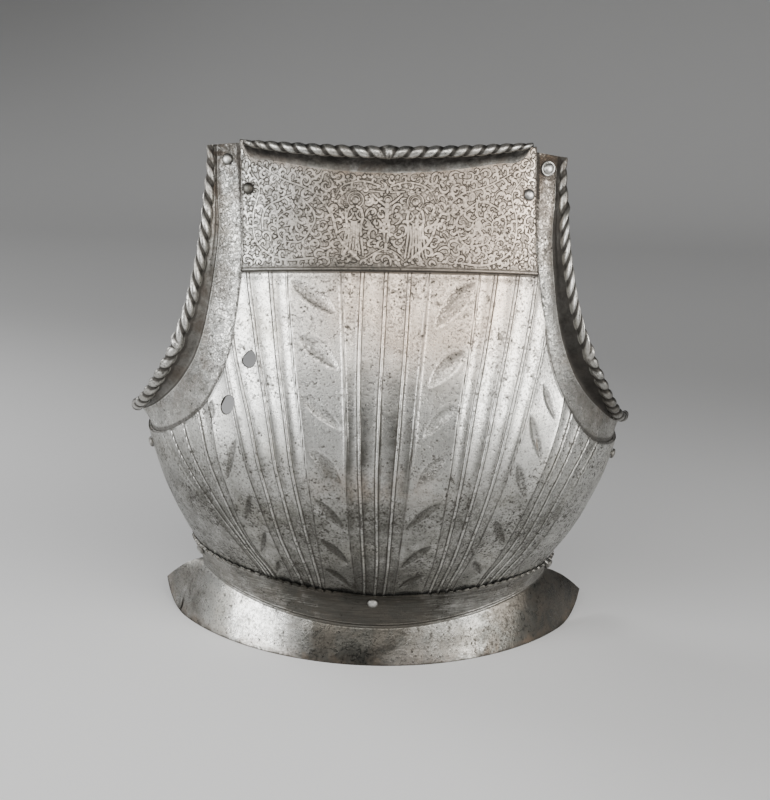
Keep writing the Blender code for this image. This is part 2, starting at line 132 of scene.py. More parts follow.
NECK_CORNER_RISE = 0.0065
BODY_RADIUS = 0.165
FOLD_CLIMB = 0.0056, 0.002, 0.0055
FOLD_DIP = 0.0024, 0.018, 0.010
NECK_ROPE_RADIUS = 0.0041
NECK_ROPE_END_RADIUS = 0.0012
GUSSET_TOP = 0.3775
GUSSET_FLANGE_TURN = math.radians(40)
GUSSET_ROPE_RADIUS = 0.0044
GUSSET_NODE = {-1: 0.226, 1: 0.224}
ROPE_SHARE = 0.75
LAME_END = math.radians(92)
LAME_TOP = 0.0490
LAME_TOP_RISE = 0.0120
LAME_TOP_POWER = 1.3
LAME_TOP_TILT = -0.0035
CREASE = 0.0225
CREASE_RISE = 0.0205
TUCK = 0.0060
RIM_HALF_WIDTH = 0.1645
RIM_FRONT = 0.005
RIM_SIDE = 0.150
RIM_POINT = 1.16
RIM_LIFT_FROM = 0.085
RIM_LIFT = 9.0
RIM_END = math.radians(78)
RIM_LAND = 0.0032
FLANGE_SWELL = 0.0028
FLANGE_SAG = 0.0022
SPLIT_ANGLE = -math.radians(64)
SPLIT_LENGTH = 0.0028
SPLIT_HOLE_RADIUS = 0.0013
CROWDING = 2.5
CROWDED_WIDTH = 0.006
# Lance-rest holes: angle, height, half width, half height, slant, and how far a corner runs out.
LANCE_HOLES = np.array((
    (-32.8, 231, 5.1, 5.8, 0.08, 0.13),
    (-38.3, 196.5, 5.3, 6.9, 0.24, 0),
)) / (1, MM, MM, MM, 1, 1)
HOLE_MOUTH = 1.09
HOLE_CORE = 0.30
HOLE_ROUNDING = 0.0007
HOLE_WALL_OVER = 0.00004
HOLE_CORNER = 1, 205, 22
HOLE_HOLLOW = 1.15, 142, 28
RIVETS = (
    ("rivet_band_left", -36.4, 0.345, "plate_gusset", False),
    ("rivet_band_right", 38.6, 0.346, "plate_gusset", False),
    ("rivet_gusset_top_left", -44.4, 0.363, "gusset", False),
    ("rivet_gusset_top_right", 45.6, 0.363, "gusset", True),
    ("rivet_side_left", -79.0, 0.1410, "plate_gusset", False),
    ("rivet_side_right", 80.0, 0.1420, "plate_gusset", False),
    ("rivet_waist_left", -71.0, 0.0612, "lame_plate", False),
    ("rivet_waist_middle", 0.0, 0.0435, "lame_plate", False),
    ("rivet_waist_right", 74.0, 0.0560, "lame_plate", False),
)

# The lower edge of the etched band, in the middle and how far it falls at 40 degrees.
BAND_LINE = 0.2964
BAND_FALL = 0.0070
BAND_TILT = 0.0030
CORNER_TRIM = 0.065

# Ribs and incised lines of the fluted field: their angle at each of the heights. A double is a fine
# raised bead between two incised lines.
RIB_HEIGHTS = np.array((0.050, 0.090, 0.140, 0.190, 0.240, 0.300))
RIBS = (
    ("line", -37, -43.8, -58.8, -72, -84, -92),
    ("double", -35.6, -41.8, -53.7, -65, -76, -84),
    ("double", -34.2, -40.1, -48.4, -56.5, -66, -74),
    ("double", -32.6, -38.4, -43.2, -48.5, -58, -66),
    ("line", -31.3, -36.7, -39.9, -44, -52, -60),
    ("line", -26.4, -28.3, -31.4, -36, -41.5, -47),
    ("double", -23.2, -25.9, -28, -32, -37.8, -42.5),
    ("double", -19.7, -21.6, -23.8, -26.8, -30.8, -36),
    ("double", -17.2, -18.1, -19.9, -22.4, -25.5, -29),
    ("line", -15.6, -15.6, -16.5, -18.6, -21.3, -24.2),
    ("line", -5.7, -6.9, -7.7, -8.2, -9, -10.3),
    ("double", -3, -3.8, -4.6, -5.2, -5.4, -4.9),
    ("double", 0.4, -0.1, -0.9, -0.9, -0.1, 0.9),
    ("double", 3.4, 3, 2.9, 3.7, 5.1, 6.6),
    ("line", 6.3, 5.8, 6.1, 7.3, 9.1, 11.5),
    ("line", 15.9, 15.7, 15.5, 16.9, 20.3, 24.4),
    ("double", 18.4, 18.2, 18.4, 20.3, 24.3, 29.3),
    ("double", 21.2, 21.4, 22.2, 25.1, 29.9, 35.8),
    ("double", 24.1, 24.7, 26.1, 29.8, 35.5, 42),
    ("line", 26.1, 26.9, 29.3, 34.2, 40.9, 48),
    ("line", 34.9, 36.4, 39.3, 45.5, 52, 60),
    ("double", 36.6, 39.5, 42.3, 49.4, 57, 66),
    ("double", 40, 43.1, 46.1, 54.5, 64, 74),
    ("double", 43.5, 47.3, 51, 62.5, 73, 84),
    ("line", 46.5, 51.6, 56.3, 70, 82, 92),
)
DOUBLED = np.array([row[0] == "double" for row in RIBS])
# Sunk leaves: angle and height of the outer and the inner end, and half the width in millimetres.
LEAVES = np.array((
    (-22.7, 287, -11.2, 267, 6.2),
    (-19.6, 250, -10.3, 231, 5.7),
    (-18.2, 209.5, -9.4, 190, 4.5),
    (-16.5, 173.5, -8.9, 150, 5.4),
    (-15.6, 137.5, -8.4, 113.5, 3.5),
    (-14.9, 102, -7.9, 80.5, 3.7),
    (-14.6, 73.5, -7.4, 55, 3),
    (22.9, 289, 12.4, 260, 6.2),
    (19.2, 243, 10.8, 221, 5.7),
    (16.4, 207, 9.4, 186, 4.5),
    (14.8, 172, 8.2, 150, 5),
    (14.4, 137, 6.4, 114.5, 3.6),
    (14.2, 99, 6.8, 77.5, 3.8),
    (14.8, 69.5, 7.4, 55, 2.9),
    (-43.4, 196, -43.6, 179, 2.6),
    (-35.6, 172, -39.4, 139, 2.6),
    (-32.8, 132, -36.4, 108, 2.4),
    (-30.6, 102, -34.6, 80, 2.2),
    (-29.6, 74, -31.9, 61, 1.8),
    (41, 216, 43.8, 190, 2.6),
    (36.2, 196, 39.7, 162, 3.4),
    (32.6, 162, 37.3, 133, 3.4),
    (29.8, 118, 35.8, 95, 3.4),
    (28.2, 80, 33.6, 65, 2.4),
)) / (1, MM, 1, MM, 1)
SIDE_LEAVES_FROM = math.radians(26)
SIDE_LEAF_PLACE = 0.9
LEAF_BOW = 0.22
LEAF_LEAN = 0.85
LEAF_FULLNESS = 0.75
LEAF_NEAR = 0.035, 0.22
LEAF_DEPTH = 0.0014
LEAF_SLOPE = -1.1, 4.0
LEAF_SCOOP = 0.35, 0.80
FLUTE_DEPTH = 0.00135
FLUTE_ROUNDNESS = 0.8
LEAF_PANEL_DEPTH = 0.0010
FULL_FLUTE_WIDTH = 0.012
# Ridges and grooves: how high, how far in millimetres from their line, and how wide.
FOLD_SINK = 0.0006, -1.5, 3.5
LEAF_LIP = 0.00012, 1.4, 0.9
BEAD = 0.00028, 0.0, 0.85
LINE = 0.00016, 0.0, 1.1
BAND_LIP = 0.00018, 1.6, 0.9
BAND_FOLD = 0.0005, 0.0, 0.6
UNEVEN = 0.00010
UNEVEN_LENGTH = 0.030
EDGES_FROM = math.radians(30)
EMBOSSED_TO = math.radians(38)
INSIDE_DEPTH = 0.0008


def smooth_through(keys, values, at):
    """A smooth curve through the given values, at other positions."""
    slopes = np.gradient(values, keys)
    low = np.clip(np.searchsorted(keys, at) - 1, 0, len(keys) - 2)
    span = keys[low + 1] - keys[low]
    part = (at - keys[low]) / span
    square = part * part
    cube = square * part
    return (
        (2 * cube - 3 * square + 1) * values[low]
        + (cube - 2 * square + part) * span * slopes[low]
        + (3 * square - 2 * cube) * values[low + 1]
        + (cube - square) * span * slopes[low + 1]
    )


def unit(vectors):
    return vectors / np.linalg.norm(vectors, axis=-1, keepdims=True)


def shares(count):
    """Evenly spaced values from 0 to 1."""
    return np.linspace(0.0, 1.0, count)


def mix(start, end, share):
    return start + (end - start) * share


def ease(value, low, high):
    """0 below low, 1 above high, smooth between."""
    part = np.clip((value - low) / (high - low), 0.0, 1.0)
    return part * part * (3 - 2 * part)


def bell(value, middle, width):
    """1 at the middle, falling off smoothly over the width."""
    return np.exp(-(((value - middle) / width) ** 2))


def ridge(value, form):
    """A ridge of a height, at a place and of a width."""
    height, middle, width = form
    return height * bell(value, middle, width)


def length_along(line):
    return np.concatenate([[0], np.cumsum(np.linalg.norm(np.diff(line, axis=0), axis=1))])


def arch(angle, half_width, front, side, point):
    """A plan arch: X across, Y from the crown at the front to the widest line and beyond."""
    cosine = np.cos(angle)
    depth = (side - front) * np.sign(cosine) * np.abs(cosine) ** point
    return half_width * np.sin(angle), side - depth


def body_face(angle, height):
    angle, height = np.broadcast_arrays(np.asarray(angle, float), np.asarray(height, float))
    keys = SECTIONS[:, 0]
    *shape, middle = (smooth_through(keys, column, height) for column in SECTIONS.T[1:])
    across, back = arch(angle, *shape)
    return np.stack([across + middle, back, height], axis=-1)


def body_slopes(angle, height, step=1e-4):
    """How the body's face moves per radian and per metre of height."""
    around = (body_face(angle + step, height) - body_face(angle - step, height)) / (2 * step)
    upward = (body_face(angle, height + step) - body_face(angle, height - step)) / (2 * step)
    return around, upward


def body_scale(angle, height):
    """Metres to a radian round the body and to a metre of height."""
    return (np.linalg.norm(way, axis=-1) for way in body_slopes(angle, height))


def body_normal(angle, height):
    return unit(np.cross(*body_slopes(angle, height)))


def body(angle, height, out=0.0):
    """A point of the body's outer face, moved outward by a distance."""
    return body_face(angle, height) + body_normal(angle, height) * np.asarray(out)[..., None]


def lame_top(angle):
    rise = LAME_TOP_RISE * np.abs(np.sin(angle)) ** LAME_TOP_POWER
    return LAME_TOP + rise + LAME_TOP_TILT * np.sin(angle)


def crease_height(angle):
    return CREASE + CREASE_RISE * np.sin(angle) ** 2


def rim_line(angle, inset):
    across, back = arch(
        angle, RIM_HALF_WIDTH - inset, RIM_FRONT + inset, RIM_SIDE, RIM_POINT
    )
    lift = RIM_LIFT * np.maximum(back - RIM_LIFT_FROM, 0.0) ** 2
    return np.stack([across, back, lift], axis=-1)


def along_rows(rows, columns, position, side):
    """A table's columns at a row position, the first of them an angle in degrees on a side."""
    keys = np.arange(len(rows))
    angle, *others = (smooth_through(keys, rows[:, column], position) for column in columns)
    return side * np.radians(angle), *others


def along_edge(position, side):
    """Angle, height, foot angle and lap of an arm edge at a row position."""
    first = side + 1
    angle, height, foot, lap = along_rows(ARM_EDGE, (first, first + 1, 4, 5), position, side)
    return angle, height, side * np.radians(foot), lap


def along_gutter(position, side):
    return along_rows(GUTTER, range(2 * side + 2, 2 * side + 6), position, side)


def band_line(angle):
    return BAND_LINE - BAND_FALL * (np.degrees(angle) / 40.0) ** 2 + BAND_TILT * np.sin(angle)


def neck_share(angle):
    """0 at the middle of the neck and 1 at its corners."""
    corner = np.where(angle < 0, LEFT_CORNER, RIGHT_CORNER)
    return (np.abs(np.degrees(angle)) / corner) ** NECK_SWEEP


def neck_line(angle):
    return mix(NECK_LOW, NECK_CORNER, neck_share(angle)) + NECK_TILT * np.sin(angle)


def fold_line(angle):
    """Where the neck's flange leaves the plate: it climbs to meet the rope at the corners."""
    corner = math.radians((LEFT_CORNER + RIGHT_CORNER) / 2)
    apart = (corner - np.abs(angle)) * BODY_RADIUS
    return neck_line(angle) + ridge(apart, FOLD_CLIMB) - ridge(apart, FOLD_DIP)


def band_position(side):
    """The row position on an arm edge where the etched band's lower edge meets it."""
    low, high = 1.0, 4.0
    for _ in range(40):
        middle = (low + high) / 2
        angle, height, _, _ = along_edge(np.array(middle), side)
        low, high = (middle, high) if height > band_line(angle) else (low, middle)
    return low


def unevenness(points, size, count=24):
    """Soft irregular waves over a surface, about -1 to 1, whose length is near a size in metres."""
    total = np.zeros(points.shape[:-1])
    for _ in range(count):
        direction = unit(RANDOM.normal(size=3))
        wave = 2 * math.pi / (size * RANDOM.uniform(0.6, 1.7))
        total += np.sin(points @ direction * wave + RANDOM.uniform(0, 2 * math.pi))
    return total / math.sqrt(count)


def roughened(points, way, amount, size, share=1.0):
    """Points moved along a direction by soft irregular waves."""
    return points + way * (amount * unevenness(points, size) * share)[..., None]


# ---- Meshes

lowest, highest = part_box("waist_lame")
SHIFT = np.array([(lowest.x + highest.x) / 2, lowest.y - RIM_FRONT, 0.0])


def rivet_seat(angle, height, sheets):
    """Where a rivet sits, the way it points, and how thick the stack under its head is."""
    out, stack = {
        "plate_gusset": (0.0, PLATE_THICKNESS + SHEET_GAP + GUSSET_THICKNESS),
        "gusset": (-PLATE_THICKNESS - SHEET_GAP, GUSSET_THICKNESS),
        "lame_plate": (LAME_GAP + LAME_THICKNESS, LAME_THICKNESS + LAME_GAP + PLATE_THICKNESS),
    }[sheets]
    at = np.array([math.radians(angle)]), np.array([height])
    return body(*at, out)[0], body_normal(*at)[0], stack


def rivet_reach(points):
    """Distance in millimetres from the nearest rivet head."""
    found = np.full(len(points), FAR)
    for _, angle, height, sheets, collar in RIVETS:
        place, _, _ = rivet_seat(angle, height, sheets)
        head = COLLAR_RADIUS if collar else HEAD_RADIUS
        found = np.minimum(found, (np.linalg.norm(points - place, axis=1) - head) * MM)
    return found


def new_object(
    name, points, metal, values=(), faces=None, nodes=(), sharp=None
):
    """A smooth mesh from a grid of points, or from points and faces, with values at its points."""
    faces = grid_faces(*points.shape[:2]) if faces is None else faces
    mesh = bpy.data.meshes.new(name)
    points = np.asarray(points, float).reshape(-1, 3)
    # Every mesh gets its distance from the nearest rivet head, for a painted shadow ring round each
    # head.
    values = dict(values, ring=rivet_reach(points))
    mesh.vertices.add(len(points))
    mesh.vertices.foreach_set("co", (points + SHIFT).ravel().astype(np.float32))
    flat = np.concatenate(list(faces))
    starts = np.cumsum([0] + [len(face) for face in faces])[:-1]
    mesh.loops.add(len(flat))
    mesh.loops.foreach_set("vertex_index", flat.astype(np.int32))
    mesh.polygons.add(len(starts))
    mesh.polygons.foreach_set("loop_start", starts.astype(np.int32))
    mesh.update(calc_edges=True)
    mesh.validate()
    for key, data in values.items():
        layer = mesh.attributes.new(key, "FLOAT", "POINT")
        layer.data.foreach_set("value", np.asarray(data, float).ravel().astype(np.float32))
    mesh.shade_smooth()
    if sharp:
        mesh.set_sharp_from_angle(angle=math.radians(sharp))
    mesh.materials.append(metal)
    made = bpy.data.objects.new(name, mesh)
    bpy.context.scene.collection.objects.link(made)
    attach(made, "root")
    if nodes:
        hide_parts(*nodes)


def grid_faces(rows, columns, closed=False, flip=False):
    """Quads of a grid of points that is stored row by row."""
    index = np.arange(rows * columns).reshape(rows, columns)
    if closed:
        index = np.concatenate([index, index[:, :1]], axis=1)
    quads = np.stack(
        [index[:-1, :-1], index[:-1, 1:], index[1:, 1:], index[1:, :-1]], axis=-1
    ).reshape(-1, 4)
    return quads[:, ::-1] if flip else quads


def tree_of(points):
    tree = KDTree(len(points))
    for index, place in enumerate(points):
        tree.insert(place, index)
    tree.balance()
    return tree


def widened(values, before, after, fill=0.0):
    """Rows of values with more columns of one value before and after them."""
    return np.pad(values, ((0, 0), (before, after)), constant_values=fill)


# ---- The fluted field and the inside of the plate

def rib_angles(height, step=1e-3):
    """Angles of all ribs and lines at each height, and how they change with height."""
    rows = np.radians(np.array([row[1:] for row in RIBS]))
    at = np.clip(height, 0.035, 0.300)
    found, above = (
        np.stack([smooth_through(RIB_HEIGHTS, row, place) for row in rows])
        for place in (at, at + step)
    )
    return found, (above - found) / step


def leaf_distance(angle, height, wide, tall):
    """Distance in millimetres to the nearest leaf, below 0 inside it, and the place across it."""
    nearest, place = np.full(angle.shape, FAR), np.zeros(angle.shape)
    for from_angle, from_height, to_angle, to_height, half_width in LEAVES:
        start, end = math.radians(from_angle), math.radians(to_angle)
        close = np.abs(height - (from_height + to_height) / 2) < LEAF_NEAR[0]
        close &= np.abs(angle - (start + end) / 2) < LEAF_NEAR[1]
        across, up = wide[close] * MM, tall[close] * MM
        x, y = (angle[close] - start) * across, (height[close] - from_height) * up
        axis_x, axis_y = (end - start) * across, (to_height - from_height) * up
        length = np.hypot(axis_x, axis_y)
        along = (x * axis_x + y * axis_y) / length
        part = np.clip(along / length, 0.0, 1.0)
        bow = LEAF_BOW * half_width * np.sin(math.pi * part) * np.sign(end)
        beside = (x * axis_y - y * axis_x) / length - bow
        gap = np.abs(beside) - half_width * np.sin(math.pi * part**LEAF_LEAN) ** LEAF_FULLNESS
        over = np.maximum(np.maximum(-along, along - length), 0.0)
        distance = np.where((gap < 0) & (over <= 0), gap, np.hypot(np.maximum(gap, 0.0), over))
        spot = beside / half_width
        if abs(start) > SIDE_LEAVES_FROM:
            spot = np.full(beside.shape, SIDE_LEAF_PLACE)
        better = distance < nearest[close]
        chosen = np.flatnonzero(close)[better]
        nearest.flat[chosen], place.flat[chosen] = distance[better], spot[better]
    return nearest, place


def field_relief(angle, height):
    """How far the fluted face stands out, and the values that its material reads."""
    wide, tall = body_scale(angle, height)
    lines, lean = rib_angles(height)
    apart = np.abs((angle[None] - lines) * wide * MM / np.sqrt(1 + (lean * wide / tall) ** 2))
    doubled = DOUBLED.reshape((-1,) + (1,) * angle.ndim)
    double, single = (np.where(kind, apart, NOWHERE).min(axis=0) for kind in (doubled, ~doubled))
    index = (angle[None] > lines).sum(axis=0)
    inside = (index > 0) & (index < len(RIBS))
    low, high = (np.clip(index - back, 0, len(RIBS) - 1) for back in (1, 0))
    left, right = (np.take_along_axis(lines, which[None], axis=0)[0] for which in (low, high))
    span = np.where(inside, np.maximum(right - left, 1e-6), 1.0)
    part = np.clip((angle - left) / span, 0.0, 1.0)
    plain = DOUBLED[low] | DOUBLED[high]
    depth = np.where(plain, FLUTE_DEPTH, LEAF_PANEL_DEPTH) * np.minimum(
        1.0, span * wide / FULL_FLUTE_WIDTH
    )
    swell = 4 * part * (1 - part)
    hollow = np.where(inside, depth * swell**FLUTE_ROUNDNESS, 0.0)
    leaf, place = leaf_distance(angle, height, wide, tall)
    scoop = LEAF_SCOOP[0] + LEAF_SCOOP[1] * np.clip((place + 1) / 2, 0.0, 1.0)
    sunk = LEAF_DEPTH * ease(-leaf, *LEAF_SLOPE) * scoop
    step = (height - band_line(angle)) * tall * MM
    out = -hollow - sunk - ridge(step, FOLD_SINK) + ridge(leaf, LEAF_LIP)
    out += ridge(double, BEAD) + ridge(single, LINE)
    return out, {
        "double": np.minimum(double, 12.0),
        "single": np.minimum(single, 12.0),
        "leaf": leaf,
        "leaf_place": place,
        "step": np.clip(step, -30, 30),
        "flute": np.where(inside & plain, np.clip(swell * 1.6, 0, 1), 0.0),
        "outer": np.where(inside & plain, np.where(angle > 0, part, 1 - part), 0.0),
    }


def edge_reach(angle, points):
    """Distance in millimetres from the arm edges, for points beside them."""
    found = np.full(angle.shape, FAR)
    for side in SIDES:
        angles, heights, _, _ = along_edge(np.linspace(0.0, EDGE_END, 700), side)
        tree = tree_of(body(angles, heights).tolist())
        for row, column in np.argwhere(side * angle > EDGES_FROM).tolist():
            found[row, column] = tree.find(points[row, column])[2] * MM
    return np.minimum(found, FAR)


def hole_outline(turn, corner):
    """Radius of a hole's outline at each turn, as a share. A corner may run out low on the left."""
    turn = np.degrees(turn) % 360
    return 1 + corner * (ridge(turn, HOLE_CORNER) - ridge(turn, HOLE_HOLLOW))


def hole_frames():
    """Each lance-rest hole with its angle in radians and the body's scale there."""
    for hole_angle, hole_height, *shape in LANCE_HOLES:
        middle = math.radians(hole_angle)
        wide, tall = body_scale(np.array([middle]), np.array([hole_height]))
        yield middle, hole_height, float(wide[0]), float(tall[0]), *shape


def pull_to_holes(angle, height):
    """Moves grid points inside each hole out to its mouth, and says how far out each point lies."""
    least = np.full(angle.shape, NOWHERE)
    for middle, hole_height, wide, tall, half_width, half_height, slant, corner in hole_frames():
        y = (height - hole_height) * tall
        x = ((angle - middle) * wide - slant * y) / half_width
        y = y / half_height
        reach = np.hypot(x, y) / hole_outline(np.arctan2(y, x), corner)
        pulled = (reach > HOLE_CORE) & (reach < HOLE_MOUTH)
        pull = np.where(pulled, HOLE_MOUTH / np.maximum(reach, HOLE_CORE), 1.0)
        angle = middle + (angle - middle) * pull
        height = hole_height + (height - hole_height) * pull
        least = np.minimum(least, reach * pull)
    return angle, height, least


def plate_grid(columns, rows, flip=False):
    """Angles, heights and faces of a grid over the plate, from its foot up, open at the holes.

    The columns come in three parts, each with its top angles, top heights and foot angles.
    """
    top, top_height, foot = (np.concatenate(part) for part in zip(*columns))
    steps = shares(rows)[:, None]
    angle = mix(foot, top, steps**COLUMN_BEND)
    height = mix(crease_height(foot) + TUCK, top_height, steps)
    angle, height, reach = pull_to_holes(angle, height)
    quads = grid_faces(*angle.shape, flip=flip)
    return angle, height, quads[~(reach.ravel()[quads] < HOLE_MOUTH + 1e-6).all(axis=1)]


def make_field(metal):
    """The fluted face, below the etched band."""
    beside, across, rows = 135, 190, 206
    ends = {side: band_position(side) for side in SIDES}
    left = along_edge(np.linspace(EDGE_END, ends[-1], beside, endpoint=False), -1)
    right = along_edge(np.linspace(ends[1], EDGE_END, beside + 1)[1:], 1)
    start, end = (along_edge(np.array(ends[side]), side) for side in SIDES)
    band, foot = (np.linspace(start[index], end[index], across + 1) for index in (0, 2))
    columns = left[:3], (band, band_line(band), foot), right[:3]
    angle, height, quads = plate_grid(columns, rows)
    out, values = field_relief(angle, height)
    points = body(angle, height, out)
    values["edge"] = edge_reach(angle, points)
    points = roughened(points, body_normal(angle, height), UNEVEN, UNEVEN_LENGTH)
    new_object("plate_fluted_face", points, metal, values, quads, nodes=["breast_plate"])


def make_inside(metal):
    """The plate's inside face, which follows the deep relief of the field."""
    beside, across, rows = 122, 140, 220
    up = np.linspace(CORNER_TRIM, EDGE_END, beside)
    left, right = along_edge(up[::-1], -1), along_edge(up, 1)
    neck, foot = (
        np.radians(np.linspace(NECK_INSET - first, last - NECK_INSET, across))
        for first, last in ((LEFT_CORNER, RIGHT_CORNER), (FOOT_CORNER, FOOT_CORNER))
    )
    columns = left[:3], (neck, fold_line(neck), foot), right[:3]
    angle, height, quads = plate_grid(columns, rows, flip=True)
    relief, _ = field_relief(angle, height)
    embossed = (height < band_line(angle)) & (np.abs(angle) < EMBOSSED_TO)
    out = np.minimum(np.where(embossed, relief - INSIDE_DEPTH, 0.0), -PLATE_THICKNESS)
    new_object("plate_inside_face", body(angle, height, out), metal, faces=quads)


# ---- Etched ornament of the band, as strokes in a flat map of it, in millimetres. A stroke is a
# row of points with half its width at each.

MAP_PER_DEGREE = 2.85
MAP_PER_HEIGHT = 1090.0
STROKE_STEP = 0.3
FULL_TURN = 2 * math.pi
BAND_BORDER = 4.0
NECK_BORDER = 1.5
SIDE_BORDER = 2.0
CURL_SIZES = 7.4, 5.6, 4.2, 3.1, 2.2, 1.5

# Strokes of the small figures: whether they are mirrored, width, width at the tip, and points
# across and up, the latter as a share of the figure's height.
ROBED = (
    (True, 0.80, 0.35, (1.3, 0.775), (4.4, 0.73), (5.8, 0.60), (4.9, 0.46), (6.2, 0.22),
     (7.6, 0.02)),
    (True, 0.70, 0.40, (4.3, 0.575), (2.4, 0.60), (0.6, 0.675)),
    (True, 0.55, 0.30, (2.6, 0.71), (1.7, 0.665)),
    (True, 0.62, 0.30, (3.5, 0.50), (3.2, 0.30), (5.3, 0.03)),
    (False, 0.66, 0.35, (-1.5, 0.53), (-1.6, 0.30), (-2.6, 0.02)),
    (False, 0.66, 0.35, (0.0, 0.53), (0.3, 0.30), (0.0, 0.02)),
    (False, 0.66, 0.35, (1.5, 0.53), (2.2, 0.30), (2.6, 0.02)),
    (False, 0.42, 0.25, (-3.2, 0.555), (0.0, 0.535), (3.2, 0.555)),
)
ON_CROSS = (
    (False, 1.70, 1.20, (0.0, 0.73), (0.2, 0.60), (0.0, 0.48)),
    (False, 1.15, 0.60, (-2.3, 0.46), (0.2, 0.44), (2.6, 0.47)),
    (True, 0.75, 0.50, (1.6, 0.72), (6.0, 0.80), (10.5, 0.90)),
    (True, 0.95, 0.60, (1.4, 0.42), (1.8, 0.28), (0.9, 0.10)),
    (True, 0.45, 0.40, (2.2, 0.94), (12.0, 0.955)),
    (False, 0.55, 0.50, (0.0, 0.93), (0.0, 1.03)),
    (False, 0.90, 0.70, (0.0, 0.06), (0.0, -0.06)),
)


def round_ways(turn):
    return np.stack([np.cos(turn), np.sin(turn)], axis=-1)


def arc(centre, radius, start, sweep, width):
    count = max(int(abs(sweep) * radius / STROKE_STEP), 4)
    points = np.array(centre) + radius * round_ways(start + sweep * shares(count))
    return np.column_stack([points, np.full(count, width)])


def stroke(knots, width, tip):
    """A smooth tapering stroke through a few points."""
    knots = np.array(knots, float)
    if len(knots) == 2:
        knots = np.stack([knots[0], knots.mean(axis=0), knots[1]])
    keys = np.arange(len(knots))
    fine = np.linspace(0, len(knots) - 1, 24 * len(knots))
    rough = np.stack([smooth_through(keys, axis, fine) for axis in knots.T], axis=-1)
    length = length_along(rough)
    part = np.linspace(0, 1, max(int(length[-1] / STROKE_STEP), 4))
    points = [np.interp(length[-1] * part, length, axis) for axis in rough.T]
    taper = mix(tip, width, np.sin(math.pi * np.clip(part * 0.55 + 0.45, 0, 1)))
    return np.column_stack([*points, taper])


def spiral(centre, radius, turns, start, hand, width):
    """A stem that winds in to a flower at its centre."""
    part = np.linspace(0.0, 1.0, int(turns * FULL_TURN * radius * 0.62 / STROKE_STEP))
    turn = start + hand * FULL_TURN * turns * part
    sway = 1 + 0.05 * np.sin(2.3 * turn) + 0.04 * np.sin(5.1 * turn)
    reach = radius * (1 - part) ** 0.85 * sway + 0.8
    points = np.array(centre) + reach[:, None] * round_ways(turn)
    swell = 0.72 + 0.38 * np.sin(3.7 * turn) ** 2
    return np.column_stack([points, width * (1 - 0.45 * part) * swell])


def curl(start, heading, size, hand, width):
    """A small leaf that leaves a stem and curls over at its end."""
    part = np.linspace(0.0, 1.0, max(int(size * 2.4 / STROKE_STEP), 6))
    turn = heading + hand * (0.35 + 4.3 * part**1.7)
    path = np.cumsum(round_ways(turn) * (size * 2.0 / len(part)), axis=0)
    thick = width * (0.35 + np.sin(math.pi * np.clip(part * 1.05, 0, 1)) ** 0.8)
    return np.column_stack([np.array(start) + path, np.maximum(thick, 0.14)])


def leafy(stem, spacing, size, width):
    """A stem with curls along both its sides."""
    made = [stem]
    every = max(int(spacing / STROKE_STEP), 3)
    for order, index in enumerate(range(every, len(stem) - 2, every)):
        way = stem[index + 1, :2] - stem[index - 1, :2]
        hand = 1 if order % 2 else -1
        heading = math.atan2(way[1], way[0]) + hand * 0.35
        scale = size * (0.8 + 0.4 * RANDOM.random())
        made.append(curl(stem[index, :2], heading, scale, hand, width))
    return made


def flower(centre, size):
    tips = np.array(centre) + size * round_ways(np.arange(5) * FULL_TURN / 5)
    petals = [stroke([centre, tip], size * 0.30, 0.3) for tip in tips]
    return petals + [arc(centre, size * 0.18, 0, FULL_TURN, 0.4)]


def figure(x, foot, tall, lean, head, rows):
    """A small figure: a plain oval face under a cap of hair, and its strokes."""
    def at(across, up):
        return x + across + lean * up, foot + tall * up

    across, up, size = head
    face_x, face_y = at(across, up)
    parts = [
        arc((face_x, face_y), size * 0.42, 0, FULL_TURN, size * 0.48),
        arc((face_x, face_y + size * 0.25), size * 1.28, -0.15, math.pi + 0.3, 0.30),
    ]
    for mirrored, width, tip, *knots in rows:
        for hand in SIDES if mirrored else (1,):
            parts.append(stroke([at(hand * across, up) for across, up in knots], width, tip))
    return parts


def robed_figure(x, foot, tall, lean):
    """A small standing figure in a long pleated robe, hands together, with a halo."""
    halo = arc((x + lean * 0.875, foot + tall * 0.875), 5.6, -0.95, math.pi + 1.9, 0.34)
    return figure(x, foot, tall, lean, (0.0, 0.865, 2.3), ROBED) + [halo]


def scatter_curls(strokes, inside, box, sizes, gap=0.95, tries=1900, width=0.62, cell=0.5):
    """Small curls all over the free ground that keep clear of the strokes drawn so far."""
    low, high = np.array(box)
    shape = ((high - low) / cell).astype(int) + 2
    taken = np.zeros(shape, bool)

    def cells(points):
        index = ((points - low) / cell).astype(int)
        return index[((index >= 0) & (index < shape)).all(axis=1)]

    def mark(points):
        index = cells(points)
        span = range(-math.ceil(gap / cell), math.ceil(gap / cell) + 1)
        for step in ((x, y) for x in span for y in span if math.hypot(x, y) * cell <= gap):
            taken[tuple(np.clip(index + step, 0, shape - 1).T)] = True

    for drawn in strokes:
        mark(drawn[:, :2])
    made = []
    for size in np.repeat(sizes, tries):
        start = np.array([RANDOM.uniform(low[0], high[0]), RANDOM.uniform(low[1], high[1])])
        hand = 1 if RANDOM.random() < 0.5 else -1
        drawn = curl(start, RANDOM.uniform(0, FULL_TURN), size, hand, width)
        index = cells(drawn[:, :2])
        free = len(index) == len(drawn) and not taken[tuple(index.T)].any()
        if free and inside(*drawn.T[:2]).all():
            made.append(drawn)
            mark(drawn[:, :2])
    return made


